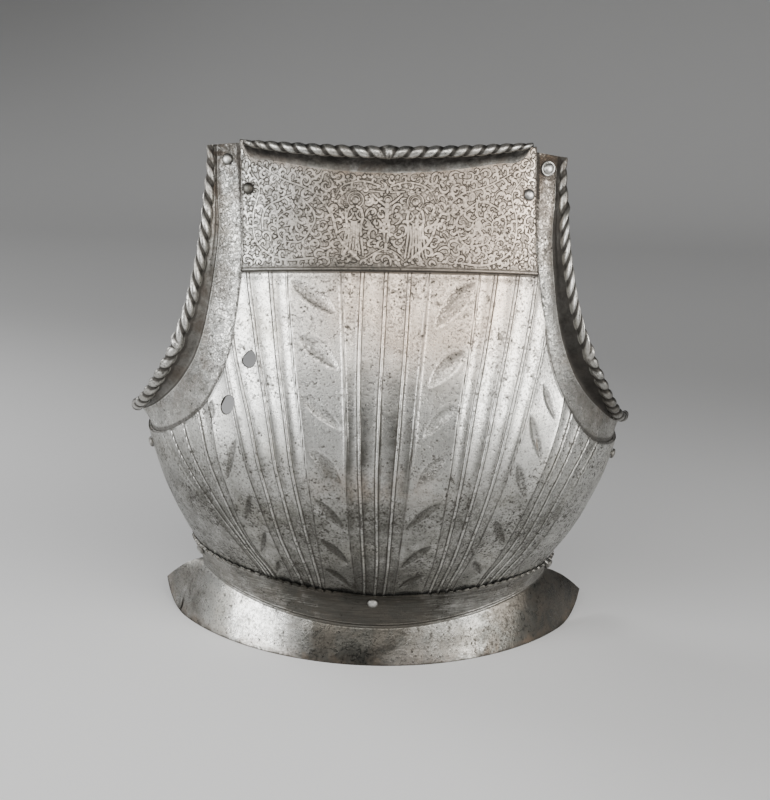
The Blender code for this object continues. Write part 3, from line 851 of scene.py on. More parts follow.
def band_strokes():
    """Scrolls on both sides, and a figure on a cross between two robed ones."""
    def mirrored(x, side, *knots):
        return [(x + side * across, up) for across, up in knots]

    strokes = []
    for side, x, radius in ((-1, -67.0, 22.0), (1, 68.0, 21.0)):
        stem = spiral((x, 31.0), radius, 1.75, math.pi / 2 - side * 1.9, side, 0.75)
        strokes += [*leafy(stem, 4.4, 5.4, 0.74), *flower((x, 31.0), 4.2)]
        entry = mirrored(x, side, (-50, 8), (-36, 22), (-29, 40), (-14, 55), (8, 62), (26, 70))
        strokes += leafy(stroke(entry, 0.85, 0.3), 4.6, 5.6, 0.78)
        outer = mirrored(x, side, (-18, 7), (6, 4.5), (26, 14), (31, 34), (27, 54), (36, 66))
        strokes += leafy(stroke(outer, 0.75, 0.3), 4.8, 4.6, 0.66)
    strokes += robed_figure(-21.5, 10.0, 46.0, 0.8)
    strokes += figure(1.5, 17.0, 42.0, 0.0, (0.5, 0.80, 1.9), ON_CROSS)
    strokes += robed_figure(22.5, 9.0, 47.0, -1.2)
    strokes.append(stroke([(-12, 8.5), (-4, 14), (2, 16), (9, 13), (14, 8.5)], 0.5, 0.3))
    for side in SIDES:
        vine = mirrored(0, side, (4, 61), (16, 64), (30, 60), (36, 50))
        strokes += leafy(stroke(vine, 0.6, 0.25), 4.8, 3.4, 0.5)
    return strokes


def stroke_distance(strokes, x, y, reach=3.0):
    """Distance in millimetres from each point to the edge of the nearest stroke."""
    drawn = np.concatenate(strokes)
    tree = tree_of([(at_x, at_y, 0.0) for at_x, at_y, _ in drawn])
    found = [
        min(distance - drawn[which, 2] for _, which, distance in tree.find_n((*at, 0.0), 3))
        for at in zip(x.ravel().tolist(), y.ravel().tolist())
    ]
    return np.minimum(found, reach).reshape(x.shape)


def band_grid(columns, rows):
    """Angle and height over the etched band, between its lower edge, the arm edges and the neck."""
    ends = [along_edge(np.array(band_position(side)), side) for side in SIDES]
    tops = [along_edge(np.array(CORNER_TRIM), side) for side in SIDES]
    across = shares(columns)
    low_angle, top_angle = (mix(pair[0][0], pair[1][0], across) for pair in (ends, tops))
    inset = math.radians(NECK_INSET)
    corner = np.maximum(tops[0][0] + inset - top_angle, top_angle - tops[1][0] + inset)
    corner_height = np.where(top_angle < 0, tops[0][1], tops[1][1])
    top_height = mix(fold_line(top_angle), corner_height, ease(corner, 0.0, 0.5 * inset))
    height = mix(band_line(low_angle), top_height, shares(rows)[:, None])
    limits = []
    for side, edge_heights in ((-1, height[:, 0]), (1, height[:, -1])):
        angles, heights, _, _ = along_edge(np.linspace(0.0, 4.0, 400), side)
        limits.append(np.interp(edge_heights, heights[::-1], angles[::-1])[:, None])
    return mix(*limits, across), height


def make_band(metal):
    """The etched band, which overlaps the fluted face with a small step."""
    angle, height = band_grid(columns=450, rows=156)
    _, tall = body_scale(angle, height)
    step = (height - band_line(angle)) * tall * MM
    out = ridge(step, BAND_LIP) - ridge(step, BAND_FOLD)
    points = body(angle, height, out)
    share = ease(step, 0.0, 6.0)
    points = roughened(points, body_normal(angle, height), UNEVEN, UNEVEN_LENGTH, share)
    x = np.degrees(angle) * MAP_PER_DEGREE
    y = (height - BAND_LINE) * MAP_PER_HEIGHT

    def inside(at_x, at_y):
        at_angle = np.radians(at_x / MAP_PER_DEGREE)
        low, top = (
            (line(at_angle) - BAND_LINE) * MAP_PER_HEIGHT for line in (band_line, fold_line)
        )
        return (at_y > low + BAND_BORDER) & (at_y < top - NECK_BORDER)

    strokes = band_strokes()
    box = (x.min() + SIDE_BORDER, y.min()), (x.max() - SIDE_BORDER, y.max())
    strokes += scatter_curls(strokes, inside, box, CURL_SIZES)
    values = {
        "etch": stroke_distance(strokes, x, y),
        "step": np.clip(step, -30, 80),
        "neck": np.clip((fold_line(angle) - height) * tall * MM, -5, 80),
        "edge": edge_reach(angle, points),
    }
    new_object("plate_etched_band", points, metal, values)


# ---- The plate's edges, and the rims of the lance-rest holes

EDGE_BULGE = 0.0007


def rounded_edge(name, angle, height, relief, outward, metal, steps=7):
    """A rounded strip along an edge of the plate, from its outer face to its inner face."""
    outer, inner = (body(angle, height, out)[:, None] for out in (relief, -PLATE_THICKNESS))
    turn = np.linspace(0.0, math.pi, steps)[:, None]
    points = (outer + inner) / 2 + (outer - inner) / 2 * np.cos(turn)
    points = points + outward[:, None] * (EDGE_BULGE * np.sin(turn))
    new_object(name, points, metal)


def make_plate_edges(metal):
    foot = math.radians(ARM_EDGE[-1, 4])
    inset = math.radians(NECK_INSET)
    for side, word in SIDES.items():
        angle, height, _, _ = along_edge(np.linspace(CORNER_TRIM, EDGE_END, 260), side)
        relief = np.where(height > band_line(angle), 0.0, field_relief(angle, height)[0])
        along = np.gradient(body(angle, height, relief), axis=0)
        outward = unit(np.cross(body_normal(angle, height), along)) * -side
        rounded_edge(f"plate_arm_edge_{word}", angle, height, relief, outward, metal)
        end = ARM_EDGE[-1, side + 2]
        height = np.linspace(float(crease_height(side * foot)) + TUCK, end, 50)
        angle = np.full(height.shape, side * foot)
        relief, _ = field_relief(angle, height)
        outward = unit(body_slopes(angle, height)[0]) * side
        rounded_edge(f"plate_back_edge_{word}", angle, height, relief, outward, metal)
        corner, top, _, _ = along_edge(np.array(CORNER_TRIM), side)
        share = shares(16)
        angle = side * (abs(float(corner)) - inset * share)
        blend = ease(inset - inset * share, 0.0, 0.5 * inset)
        height = fold_line(angle) * (1 - blend) + float(top) * blend
        outward = unit(body_slopes(angle, height)[1])
        rounded_edge(f"plate_corner_edge_{word}", angle, height, 0.0, outward, metal)
    angle = np.linspace(-foot, foot, 200)
    height = crease_height(angle) + TUCK
    relief, _ = field_relief(angle, height)
    outward = -unit(body_slopes(angle, height)[1])
    rounded_edge("plate_foot_edge", angle, height, relief, outward, metal)


def make_hole_rims(metal):
    """A rounded wall round each lance-rest hole, through the thickness of the plate."""
    turn = np.linspace(0.0, FULL_TURN, 97)[:, None]
    section = np.linspace(0.0, math.pi, 9)
    grow = HOLE_ROUNDING * (1 - np.sin(section))
    for number, hole in enumerate(hole_frames(), 1):
        middle, hole_height, wide, tall, half_width, half_height, slant, corner = hole
        outline = hole_outline(turn, corner)
        up = np.sin(turn) * (half_height + grow) * outline
        across = np.cos(turn) * (half_width + grow) * outline + slant * up
        angle, height = middle + across / wide, hole_height + up / tall
        relief, _ = field_relief(angle, height)
        half = (relief + PLATE_THICKNESS) / 2 + HOLE_WALL_OVER
        points = body(angle, height, (relief - PLATE_THICKNESS) / 2 + half * np.cos(section))
        values = {"wall": np.broadcast_to(np.sin(section), angle.shape)}
        new_object(f"lance_hole_rim_{number}", points, metal, values)


# ---- Roped edges

ROPE_CORE = 0.70
ROPE_CREST = 0.36
ROPE_KNOT = 0.16
KNOT_SHARE = 0.27
# Pitch in millimetres, and slant of the strands.
NECK_STRANDS = 10.2, 1.45
GUSSET_STRANDS = 11.5, 1.75
NECK_TAPER = 1.8
NECK_BENDS = 0.30, 0.34
LEAST_RISE = 0.0004
GUTTER_SWING = 0.25
GUTTER_RIDGE = 0.00045, 0.62, 0.10
GUTTER_GROOVE = 0.00035, 0.40, 0.12
GUTTER_FULL_RUN = 0.012
GUTTER_FULL_HEIGHTS = 0.25, 0.31
SLIM_SHARE = 0.34
SLIM_HEIGHTS = -0.372, -0.300
GUSSET_UNEVEN = 0.00009
GUSSET_UNEVEN_LENGTH = 0.022


def rope_tube(centre, ahead, aside, radius, sheet, length, node, strands, count):
    """Points of a roped edge, and the share of groove at each.

    The strands lean both ways from a node. Length and node are in millimetres, and sheet is the
    thickness of the sheet that the rope rounds off.
    """
    pitch, slant = strands
    start = np.arcsin(np.clip(sheet / 2 / radius, 0.0, 0.95))
    turn = (math.pi - start)[:, None] * np.linspace(1.0, -1.0, count)
    away = np.abs(length[:, None] - node)
    turns = away / pitch + slant * turn / FULL_TURN + 0.5
    strand = 1 - np.abs(2 * (turns - np.floor(turns)) - 1) ** 2.0
    knot = bell(away, 0.0, pitch * KNOT_SHARE)
    crest = np.maximum(strand, knot * 1.05)
    reach = radius[:, None] * (ROPE_CORE + ROPE_CREST * crest + ROPE_KNOT * knot)
    points = (
        centre[:, None]
        + ahead[:, None] * (np.cos(turn) * reach)[..., None]
        + aside[:, None] * (np.sin(turn) * reach)[..., None]
    )
    return points, 1 - crest


def bent(start, middle, end, part):
    """A row of curves from start to end, drawn towards a middle point."""
    part = part[:, None]
    start, middle, end = start[:, None], middle[:, None], end[:, None]
    return start * (1 - part) ** 2 + middle * 2 * part * (1 - part) + end * part**2


def make_neck(metal):
    """The neck's outward-turned flange with its rope."""
    fronts, ropes, backs = 18, 30, 12
    angle = np.radians(np.linspace(NECK_INSET - LEFT_CORNER, RIGHT_CORNER - NECK_INSET, 330))
    height, share = neck_line(angle), neck_share(angle)
    outer, inner = (body(angle, height, out) for out in (0.0, -PLATE_THICKNESS))
    normal = body_normal(angle, height)
    run = mix(NECK_CORNER_RUN, NECK_FLANGE_RUN, 1 - share)
    rise = mix(NECK_CORNER_RISE, NECK_FLANGE_RISE, 1 - share)
    lift = unit(normal * (1 - UP)) * run[:, None] + UP * rise[:, None]
    ahead = unit(lift)
    aside = unit(np.cross(unit(np.gradient(outer, axis=0)), ahead))
    aside *= np.sign(np.sum(aside * normal, axis=-1, keepdims=True))
    radius = mix(NECK_ROPE_END_RADIUS, NECK_ROPE_RADIUS, 1 - share**NECK_TAPER)
    centre = (outer + inner) / 2 + lift
    length = length_along(centre)
    length = (length - length[len(angle) // 2]) * MM
    rope, groove = rope_tube(
        centre, ahead, aside, radius, PLATE_THICKNESS, length, 0.0, NECK_STRANDS, ropes
    )
    fold = fold_line(angle)
    rise = np.maximum(rise - (fold - height), LEAST_RISE)
    outer, inner = (body(angle, fold, out) for out in (0.0, -PLATE_THICKNESS))
    climb = unit(body_slopes(angle, height)[1])
    along = shares(fronts)
    front = bent(outer, outer + climb * (rise * NECK_BENDS[0])[:, None], rope[:, 0], along)
    back_bend = inner + climb * (rise * NECK_BENDS[1])[:, None]
    back = bent(rope[:, -1], back_bend, inner, shares(backs))
    points = np.concatenate([front[:, :-1], rope, back[:, 1:]], axis=1)
    flange = np.concatenate([along[:-1], np.full(ropes, 2.0), np.full(backs - 1, 3.0)])
    values = {
        "groove": widened(groove, fronts - 1, backs - 1),
        "flange": np.tile(flange, (len(angle), 1)),
    }
    new_object("neck_roped_edge", points, metal, values)


def make_gusset(side, metal):
    """An arm gusset: its sheet, the hollow gutter of its flange, its rope, and its back."""
    rough = np.linspace(0.0, len(GUTTER) - 1, 600)
    length = length_along(body(*along_gutter(rough, side)[:2]))
    position = np.interp(np.linspace(0.0, length[-1], 360), length, rough)
    edge, edge_height, _, lap = along_edge(position, side)
    turn, turn_height, flange, stand = along_gutter(position, side)
    width = np.linalg.norm(body(turn, turn_height) - body(edge, edge_height), axis=-1)
    share = lap / width
    hidden = mix(edge, turn, -share)
    hidden_height = np.minimum(mix(edge_height, turn_height, -share), GUSSET_TOP)
    steps = shares(26)
    across = mix(hidden[:, None], turn[:, None], steps)
    tall = mix(hidden_height[:, None], turn_height[:, None], steps)
    bare = np.maximum(width[:, None] * (steps * (1 + share[:, None]) - share[:, None]), 0.0)
    out = stand[:, None] * (bare / width[:, None]) ** 2 - PLATE_THICKNESS - SHEET_GAP
    outer = roughened(
        body(across, tall, out), body_normal(across, tall), GUSSET_UNEVEN, GUSSET_UNEVEN_LENGTH
    )
    inner = body(across, tall, out - GUSSET_THICKNESS)
    normal = body_normal(turn, turn_height)
    outward = unit(outer[:, -1] - outer[:, -2])
    ahead = unit(math.cos(GUSSET_FLANGE_TURN) * normal + math.sin(GUSSET_FLANGE_TURN) * outward)
    aside = -unit(outward - ahead * np.sum(outward * ahead, axis=-1, keepdims=True))
    centre = (outer[:, -1] + inner[:, -1]) / 2 + ahead * flange[:, None]
    slim = 1 - SLIM_SHARE + SLIM_SHARE * ease(-turn_height, *SLIM_HEIGHTS)
    radius = np.minimum(flange * ROPE_SHARE, GUSSET_ROPE_RADIUS) * slim
    run = length_along(centre) * MM
    node = float(np.interp(-GUSSET_NODE[side], -turn_height, run))
    rope, groove = rope_tube(
        centre, ahead, aside, radius, GUSSET_THICKNESS, run, node, GUSSET_STRANDS, 26
    )
    along = shares(16)
    swing = outward * (GUTTER_SWING * flange)[:, None]
    front = bent(outer[:, -1], outer[:, -1] + swing, rope[:, 0], along)
    wave = ridge(along, GUTTER_RIDGE) - ridge(along, GUTTER_GROOVE)
    full = np.clip(flange / GUTTER_FULL_RUN, 0.2, 1.0) * ease(turn_height, *GUTTER_FULL_HEIGHTS)
    front += aside[:, None] * (wave * full[:, None])[..., None]
    back = bent(rope[:, -1], inner[:, -1] + swing, inner[:, -1], shares(10))
    parts = outer[:, :-1], front[:, :-1], rope, back[:, 1:-1], inner[:, ::-1]
    points = np.concatenate(parts, axis=1)
    rows, count = points.shape[:2]
    sheet, hollow, ropes, behind, inside = (part.shape[1] for part in parts)
    after = behind + inside
    gutter = np.concatenate([np.zeros(sheet), along[:-1], np.ones(ropes + after)])
    zone = np.repeat(np.arange(5.0), (sheet, hollow, ropes, behind, inside))
    values = {
        "groove": widened(groove, sheet + hollow, after),
        "zone": np.tile(zone, (rows, 1)),
        "gutter": np.tile(gutter, (rows, 1)),
        "bare": widened(bare[:, :-1] * MM, 0, hollow + ropes + after, HIDDEN),
    }
    faces = [grid_faces(rows, count, closed=True)]
    half = count // 2
    for row in (0, rows - 1):
        there = np.arange(count)[:half] + row * count
        facing = np.arange(count)[::-1][:half] + row * count
        caps = np.stack([there[:-1], there[1:], facing[1:], facing[:-1]], axis=1)
        faces.append(caps if row else caps[:, ::-1])
    quads = np.concatenate(faces)[:, ::-side]
    word = SIDES[side]
    new_object(
        f"gusset_roped_{word}", points, metal, values, quads, [f"gusset_{word}"], 50
    )


# ---- Waist lame

NOTCH_PITCH = 5.9
NOTCH_SHARE = 0.34
NOTCH_SQUARENESS = 4
NOTCH_DEPTH = 0.0013, 0.0, 1.6
NOTCH_SINK = 0.00035, 0.0, 1.5
LAME_BAND_SPREAD = 1.15
LAME_FLANGE_SPREAD = 1.3
LAME_UNEVEN_LENGTH = 0.018
FLANGE_UNEVEN = 0.00018
FLANGE_UNEVEN_LENGTH = 0.020
CREASE_LINE = 0.0002, 0.0, 0.05
PLAIN_MIDDLE = 3.0
PLAIN_HALF_WIDTH = 12.0, 17.0
SLIT_HALF_WIDTH = 0.0007
SLIT_START = -0.002
SLIT_STRETCH = 1.7
SLIT_AIM = 0.090
HOLE_STRETCH = 1.15


def make_lame(metal):
    """The waist lame: a band with a nicked upper edge, a crease, and the flange down to the rim."""
    rough = np.linspace(-LAME_END, LAME_END, 1500)
    length = length_along(body(rough, crease_height(rough)))
    split = np.interp(SPLIT_ANGLE * LAME_END / RIM_END, rough, length)
    crowd = np.cumsum(1 + CROWDING * bell(length, split, CROWDED_WIDTH))
    angle = np.interp(np.linspace(crowd[0], crowd[-1], 540), crowd, rough)
    notch = np.interp(angle, rough, length - length[-1] / 2) * MM / NOTCH_PITCH
    nick = np.exp(-((np.abs(notch - np.round(notch)) * 2 / NOTCH_SHARE) ** NOTCH_SQUARENESS))
    nick = (nick * ease(np.abs(np.degrees(angle) - PLAIN_MIDDLE), *PLAIN_HALF_WIDTH))[:, None]
    top, fold = lame_top(angle)[:, None], crease_height(angle)[:, None]
    level = mix(top, fold, shares(16) ** LAME_BAND_SPREAD)
    down = (top - level) * MM
    level = level - nick * ridge(down, NOTCH_DEPTH)
    stand = LAME_GAP + LAME_THICKNESS - nick * ridge(down, NOTCH_SINK)
    wide = angle[:, None]
    outer_band = roughened(
        body(wide, level, stand), body_normal(wide, level), UNEVEN, LAME_UNEVEN_LENGTH
    )
    inner_band = body(wide, level, LAME_GAP)
    part = 1 - (1 - shares(34)) ** LAME_FLANGE_SPREAD
    swell = np.sin(wide) ** 2 * UP * FLANGE_SWELL
    sag = np.cos(wide) ** 2 * UP * FLANGE_SAG
    rim, rim_inner = (rim_line(angle * (RIM_END / LAME_END), inset) for inset in (0.0, RIM_LAND))
    flange, under = (
        bent(sheet[:, -1], (sheet[:, -1] + end) / 2 + swell - sag + swell, end, part)
        for sheet, end in ((outer_band, rim), (inner_band, rim_inner))
    )
    flange = flange - UP * ridge(part, CREASE_LINE)[:, None]
    flange = roughened(
        flange, UP, FLANGE_UNEVEN, FLANGE_UNEVEN_LENGTH, np.sin(math.pi * part)
    )
    outer = np.concatenate([outer_band, flange[:, 1:]], axis=1)
    inner = np.concatenate([inner_band, under[:, 1:]], axis=1)
    rows, bands, flanges = outer.shape[1], level.shape[1], len(part) - 1
    count = len(angle) * rows
    fall = np.linalg.norm(rim - outer_band[:, -1], axis=1)[:, None] * MM
    slit = slit_reach(outer)
    values = {
        "crease": (np.concatenate([(level - fold) * MM, -part[1:] * fall], axis=1), HIDDEN),
        "nick": (widened(nick * bell(down, 0.0, 1.7), 0, flanges), 0.0),
        "top_edge": (widened(down, 0, flanges, HIDDEN), HIDDEN),
        "rim_edge": (widened((1 - part)[1:] * fall, bands, 0, HIDDEN), HIDDEN),
        "slit": (np.minimum(slit, FAR), FAR),
    }
    values = {
        key: np.concatenate([shown.ravel(), np.full(count, behind)])
        for key, (shown, behind) in values.items()
    }
    face = grid_faces(len(angle), rows)
    hole = slit.ravel() < 1.0
    keep = ~hole[face].all(axis=1)

    def strip(index):
        return np.stack([index[:-1], index[1:], index[1:] + count, index[:-1] + count], axis=1)

    top_edge = np.arange(len(angle)) * rows
    rim_edge = top_edge + rows - 1
    whole = ~hole[rim_edge[:-1]] | ~hole[rim_edge[1:]]
    quads = np.concatenate([
        face[keep][:, ::-1], face[keep] + count, strip(top_edge)[:, ::-1], strip(rim_edge)[whole],
        strip(np.arange(rows)), strip(np.arange(count - rows, count))[:, ::-1],
        hole_walls(face[~keep].tolist(), count),
    ])
    points = np.concatenate([outer.reshape(-1, 3), inner.reshape(-1, 3)])
    new_object("waist_lame_notched", points, metal, values, quads, ["waist_lame"], 45)


def slit_reach(points):
    """Below 1 inside the short crack of the rim and the small hole at its end."""
    rim = np.array(arch(SPLIT_ANGLE, RIM_HALF_WIDTH, RIM_FRONT, RIM_SIDE, RIM_POINT))
    heading = math.atan2(rim[1] - SLIT_AIM, rim[0])
    way = np.array([math.cos(heading), math.sin(heading)])
    apart = points[..., :2] - rim
    deep = -(apart @ way) * SLIT_STRETCH
    aside = np.abs(apart @ np.array([-way[1], way[0]]))
    within = (deep > SLIT_START) & (deep < SPLIT_LENGTH)
    slot = np.maximum(aside / SLIT_HALF_WIDTH, np.where(within, 0.0, FAR))
    reach = SPLIT_LENGTH + SPLIT_HOLE_RADIUS / 2
    hole = np.hypot(deep - reach, aside) / (SPLIT_HOLE_RADIUS * HOLE_STRETCH)
    return np.where(points[..., 0] < 0, np.minimum(slot, hole), FAR)


def hole_walls(left_out, count):
    """Walls between the outer and inner faces round the quads that are left out."""
    border = dict.fromkeys(
        pair for quad in left_out for pair in zip(quad, quad[1:] + quad[:1])
    )
    walls = [
        (second, first, first + count, second + count)
        for first, second in border
        if (second, first) not in border
    ]
    return np.array(walls, int).reshape(-1, 4)


# ---- Rivets

DOME_POWERS = 0.92, 0.85
RIVET_OVAL = 0.03
# The flat inner end: radius, and how far beyond the stack.
TAIL_OUTLINE = (TAIL_RADIUS, 0.0001), (0.0027, 0.0007), (0.0015, 0.0010), (0.0001, TAIL_RISE)


def make_rivet(name, angle, height, sheets, collar, metal, sides=40):
    """A rivet turned about its axis: domed head, perhaps in a collar, shank and flat inner end."""
    place, normal, stack = rivet_seat(angle, height, sheets)
    base = HEAD_GAP + COLLAR_RISE if collar else HEAD_GAP
    tail = -stack - HEAD_GAP
    spread, fullness = DOME_POWERS
    outline = [
        (HEAD_RADIUS * math.sin(a) ** spread, base + HEAD_RISE * math.cos(a) ** fullness)
        for a in np.linspace(0.02, math.pi / 2, 12)
    ]
    outline += [(HEAD_RADIUS * 0.97, base - 0.0002)]
    if collar:
        outline += [
            (HEAD_RADIUS * 1.05, base), (COLLAR_RADIUS * 0.90, base + 0.0002),
            (COLLAR_RADIUS * 0.98, base), (COLLAR_RADIUS, HEAD_GAP),
        ]
    outline += [(SHANK_RADIUS, HEAD_GAP), (SHANK_RADIUS, tail)]
    outline += [(radius, tail - beyond) for radius, beyond in TAIL_OUTLINE]
    turns = np.linspace(0.0, FULL_TURN, sides, endpoint=False)
    points = np.array([
        (radius * math.cos(a), radius * math.sin(a), rise)
        for radius, rise in outline for a in turns
    ])
    twist = 2 * np.arctan2(points[:, 1], points[:, 0]) + RANDOM.uniform(0, 6)
    points[:, :2] *= (1 + RIVET_OVAL * np.sin(twist))[:, None]
    across = unit(np.cross(UP, normal))
    points = place + points @ np.stack([across, np.cross(normal, across), normal])
    quads = grid_faces(len(outline), sides, closed=True, flip=True)
    ring = np.arange(sides)
    faces = [*quads, ring, ring[::-1] + len(points) - sides]
    new_object(f"{name}_turned", points, metal, (), faces, [name], 40)


# ---- Materials. Places are in metres and heights of relief in millimetres.


class Value:
    """A value in a material, such as a noise or a tone. Arithmetic with it makes new nodes."""

    def __init__(self, steel, socket):
        self.steel, self.socket = steel, socket

    def __add__(self, other):
        return self.steel.math("ADD", self, other)

    def __mul__(self, other):
        return self.steel.math("MULTIPLY", self, other)

    def __sub__(self, other):
        return self.steel.math("SUBTRACT", self, other)

    def __rsub__(self, other):
        return self.steel.math("SUBTRACT", other, self)

    __radd__, __rmul__ = __add__, __mul__

    def most(self, other):
        return self.steel.math("MAXIMUM", self, other)

    def bell(self, middle, width):
        """1 where the value is at the middle, falling off smoothly over the width."""
        part = self.steel.math("DIVIDE", self - middle, width)
        return self.steel.math("EXPONENT", part * part * -1.0)

    def ramp(self, low, high):
        """0 below low, 1 above high, smooth between. High may be below low."""
        first, second, start, end = (low, high, 0.0, 1.0) if low < high else (high, low, 1.0, 0.0)
        return self.steel.make(
            "MapRange", "Result", {"interpolation_type": "SMOOTHSTEP"}, Value=self,
            From_Min=first, From_Max=second, To_Min=start, To_Max=end,
        )


class Steel:
    """One procedural material and the nodes it is built of."""

    def __init__(self, name):
        self.material = bpy.data.materials.new(name)
        self.material.use_nodes = True
        self.nodes = self.material.node_tree.nodes
        self.links = self.material.node_tree.links
        self.shader = self.nodes["Principled BSDF"]
        self.place = self.make("TexCoord", "Object")
        self.x, self.y, self.z = (
            self.make("SeparateXYZ", axis, Vector=self.place) for axis in "XYZ"
        )

    def put(self, sockets, **inputs):
        """Links each value to its socket, or sets a constant on it."""
        for key, value in inputs.items():
            socket = sockets[key.replace("_", " ")]
            if isinstance(value, Value):
                self.links.new(value.socket, socket)
            else:
                socket.default_value = value

    def make(self, kind, output, settings=(), **inputs):
        """A new node, as the value of one of its outputs."""
        node = self.nodes.new("ShaderNode" + kind)
        for key, value in dict(settings).items():
            setattr(node, key, value)
        self.put(node.inputs, **inputs)
        return Value(self, node.outputs[output])

    def math(self, operation, *terms):
        node = self.nodes.new("ShaderNodeMath")
        node.operation = operation
        for socket, term in zip(node.inputs, terms):
            self.put({"term": socket}, term=term)
        return Value(self, node.outputs[0])

    def clip(self, value):
        return self.make("Clamp", 0, Value=value)

    def noise(self, scale, detail=4.0, rough=0.55, twist=0.0, place=None):
        return self.make(
            "TexNoise", "Fac", Vector=place or self.place, Scale=scale, Detail=detail,
            Roughness=rough, Distortion=twist,
        )

    def cells(self, scale):
        return self.make("TexVoronoi", "Distance", Vector=self.place, Scale=scale)

    def values(self, *names):
        return (self.make("Attribute", "Fac", {"attribute_name": name}) for name in names)

    def blend(self, share, first, second):
        node = self.nodes.new("ShaderNodeMix")
        node.data_type = "RGBA"
        sockets = dict(share=node.inputs["Factor"], first=node.inputs[6], second=node.inputs[7])
        self.put(sockets, share=share, first=first, second=second)
        return Value(self, node.outputs[2])


BRIGHT = (0.785, 0.780, 0.745, 1.0)
GREY = (0.329, 0.328, 0.302, 1.0)
DULL = (0.104, 0.102, 0.091, 1.0)
WARM = (0.60, 0.50, 0.41, 1.0)
DARK = (0.048, 0.043, 0.037, 1.0)
SHADE = (0.012, 0.011, 0.010, 1.0)
BROWN = (0.16, 0.105, 0.062, 1.0)
STRAW = (0.46, 0.42, 0.32, 1.0)
PAPER = (0.95, 0.95, 0.95, 1.0)
PAPER_SHADE = (0.15, 0.15, 0.149, 1.0)
BUMP_DISTANCE = 0.001


def steel_surface(steel, patina_and_shade, pits, more_dark=0.0, more_height=0.0, brown=0.0, base_rough=0.28,
                  dull=0.0, warm=0.0, deep=0.0):
    """The common aged steel: bright metal, grey patina, dark specks and pits, brown stains, and
    painted shade in its darkest tone. The amounts of patina, tarnish and rust that a material
    passes in also carry, on some sheets, painted shade and painted reflection.
    """
    noise, cells, clip = steel.noise, steel.cells, steel.clip
    cloud = noise(16.0, 5.0, 0.6)
    mottle = noise(75.0, 6.0, 0.65, 0.4)
    fine = noise(420.0, 4.0, 0.6)
    grain = noise(1500.0, 3.0, 0.6)
    cluster = noise(34.0, 5.0, 0.65) - 0.5
    specks = (noise(620.0, 1.5, 0.6) + cluster * 0.45).ramp(0.51, 0.68) * 0.52
    blots = (noise(230.0, 2.5, 0.6) + cluster * 0.36).ramp(0.58, 0.70) * 0.62
    pock = (cells(300.0) + fine * 0.2).ramp(0.42, 0.24) * cluster.ramp(-0.08, 0.06) * 0.68
    flecks = (cells(520.0) + fine * 0.2).ramp(0.38, 0.22)
    flecks = flecks * noise(110.0, 3.0).ramp(0.34, 0.54) * 0.66
    spots = clip((specks + blots + pock + flecks) * pits)
    grey = clip(patina_and_shade + (mottle - 0.5) * 1.8 + (cloud - 0.5) * 1.1 + (fine - 0.5) * 1.5)
    straw = noise(22.0, 3.0, 0.5).ramp(0.50, 0.72)
    # Tarnish and painted shade: the dull amount carries real tarnish and, on the fluted face and
    # the lame, painted shade and painted reflection.
    tarnish_and_shade = clip(dull * ((mottle - 0.5) * 0.7 + 0.62))
    # A painted shadow ring round each rivet head, on every sheet.
    ring, = steel.values("ring")
    dark = spots.most(ring.bell(0.2, 0.65) * 0.85).most(clip(more_dark))
    # Rust. Through the brown amount it also carries painted light: the fluted face's warm
    # reflection band and the painted shade under the neck's rope.
    rust_and_painted_light = clip(noise(48.0, 6.0, 0.68, 0.8).ramp(0.38, 0.62) * brown)
    # Painted shade in the SHADE tone: gutters, rope grooves, the neck's underside, hole walls and
    # the middle of the lame's band.
    deep = clip(deep)
    colour = steel.blend(grey, BRIGHT, GREY)
    layers = (
        (straw * 0.28, STRAW), (clip(warm), WARM), (tarnish_and_shade, DULL), (rust_and_painted_light, BROWN),
        (dark * 0.92, DARK), (deep, SHADE),
    )
    for share, tone in layers:
        colour = steel.blend(share, colour, tone)
    rough = base_rough + grey * 0.14 + dark * 0.20 + rust_and_painted_light * 0.18 + (fine - 0.5) * 0.24 + deep * 0.2
    height = mottle * 0.14 + fine * 0.075 + grain * 0.018 + spots * -0.07 + cloud * 0.30
    bump = steel.make("Bump", "Normal", Distance=BUMP_DISTANCE, Height=height + more_height)
    steel.put(
        steel.shader.inputs, Base_Color=colour, Roughness=rough, Metallic=1.0 - rust_and_painted_light * 0.45,
        Normal=bump,
    )
    return steel.material


def warm_middle(steel, amount):
    """A warmer tone around the middle of the chest, a little towards the right."""
    patch = steel.noise(20.0, 3.0) + 0.5
    return steel.x.bell(0.030, 0.070) * steel.z.ramp(0.200, 0.285) * patch * amount


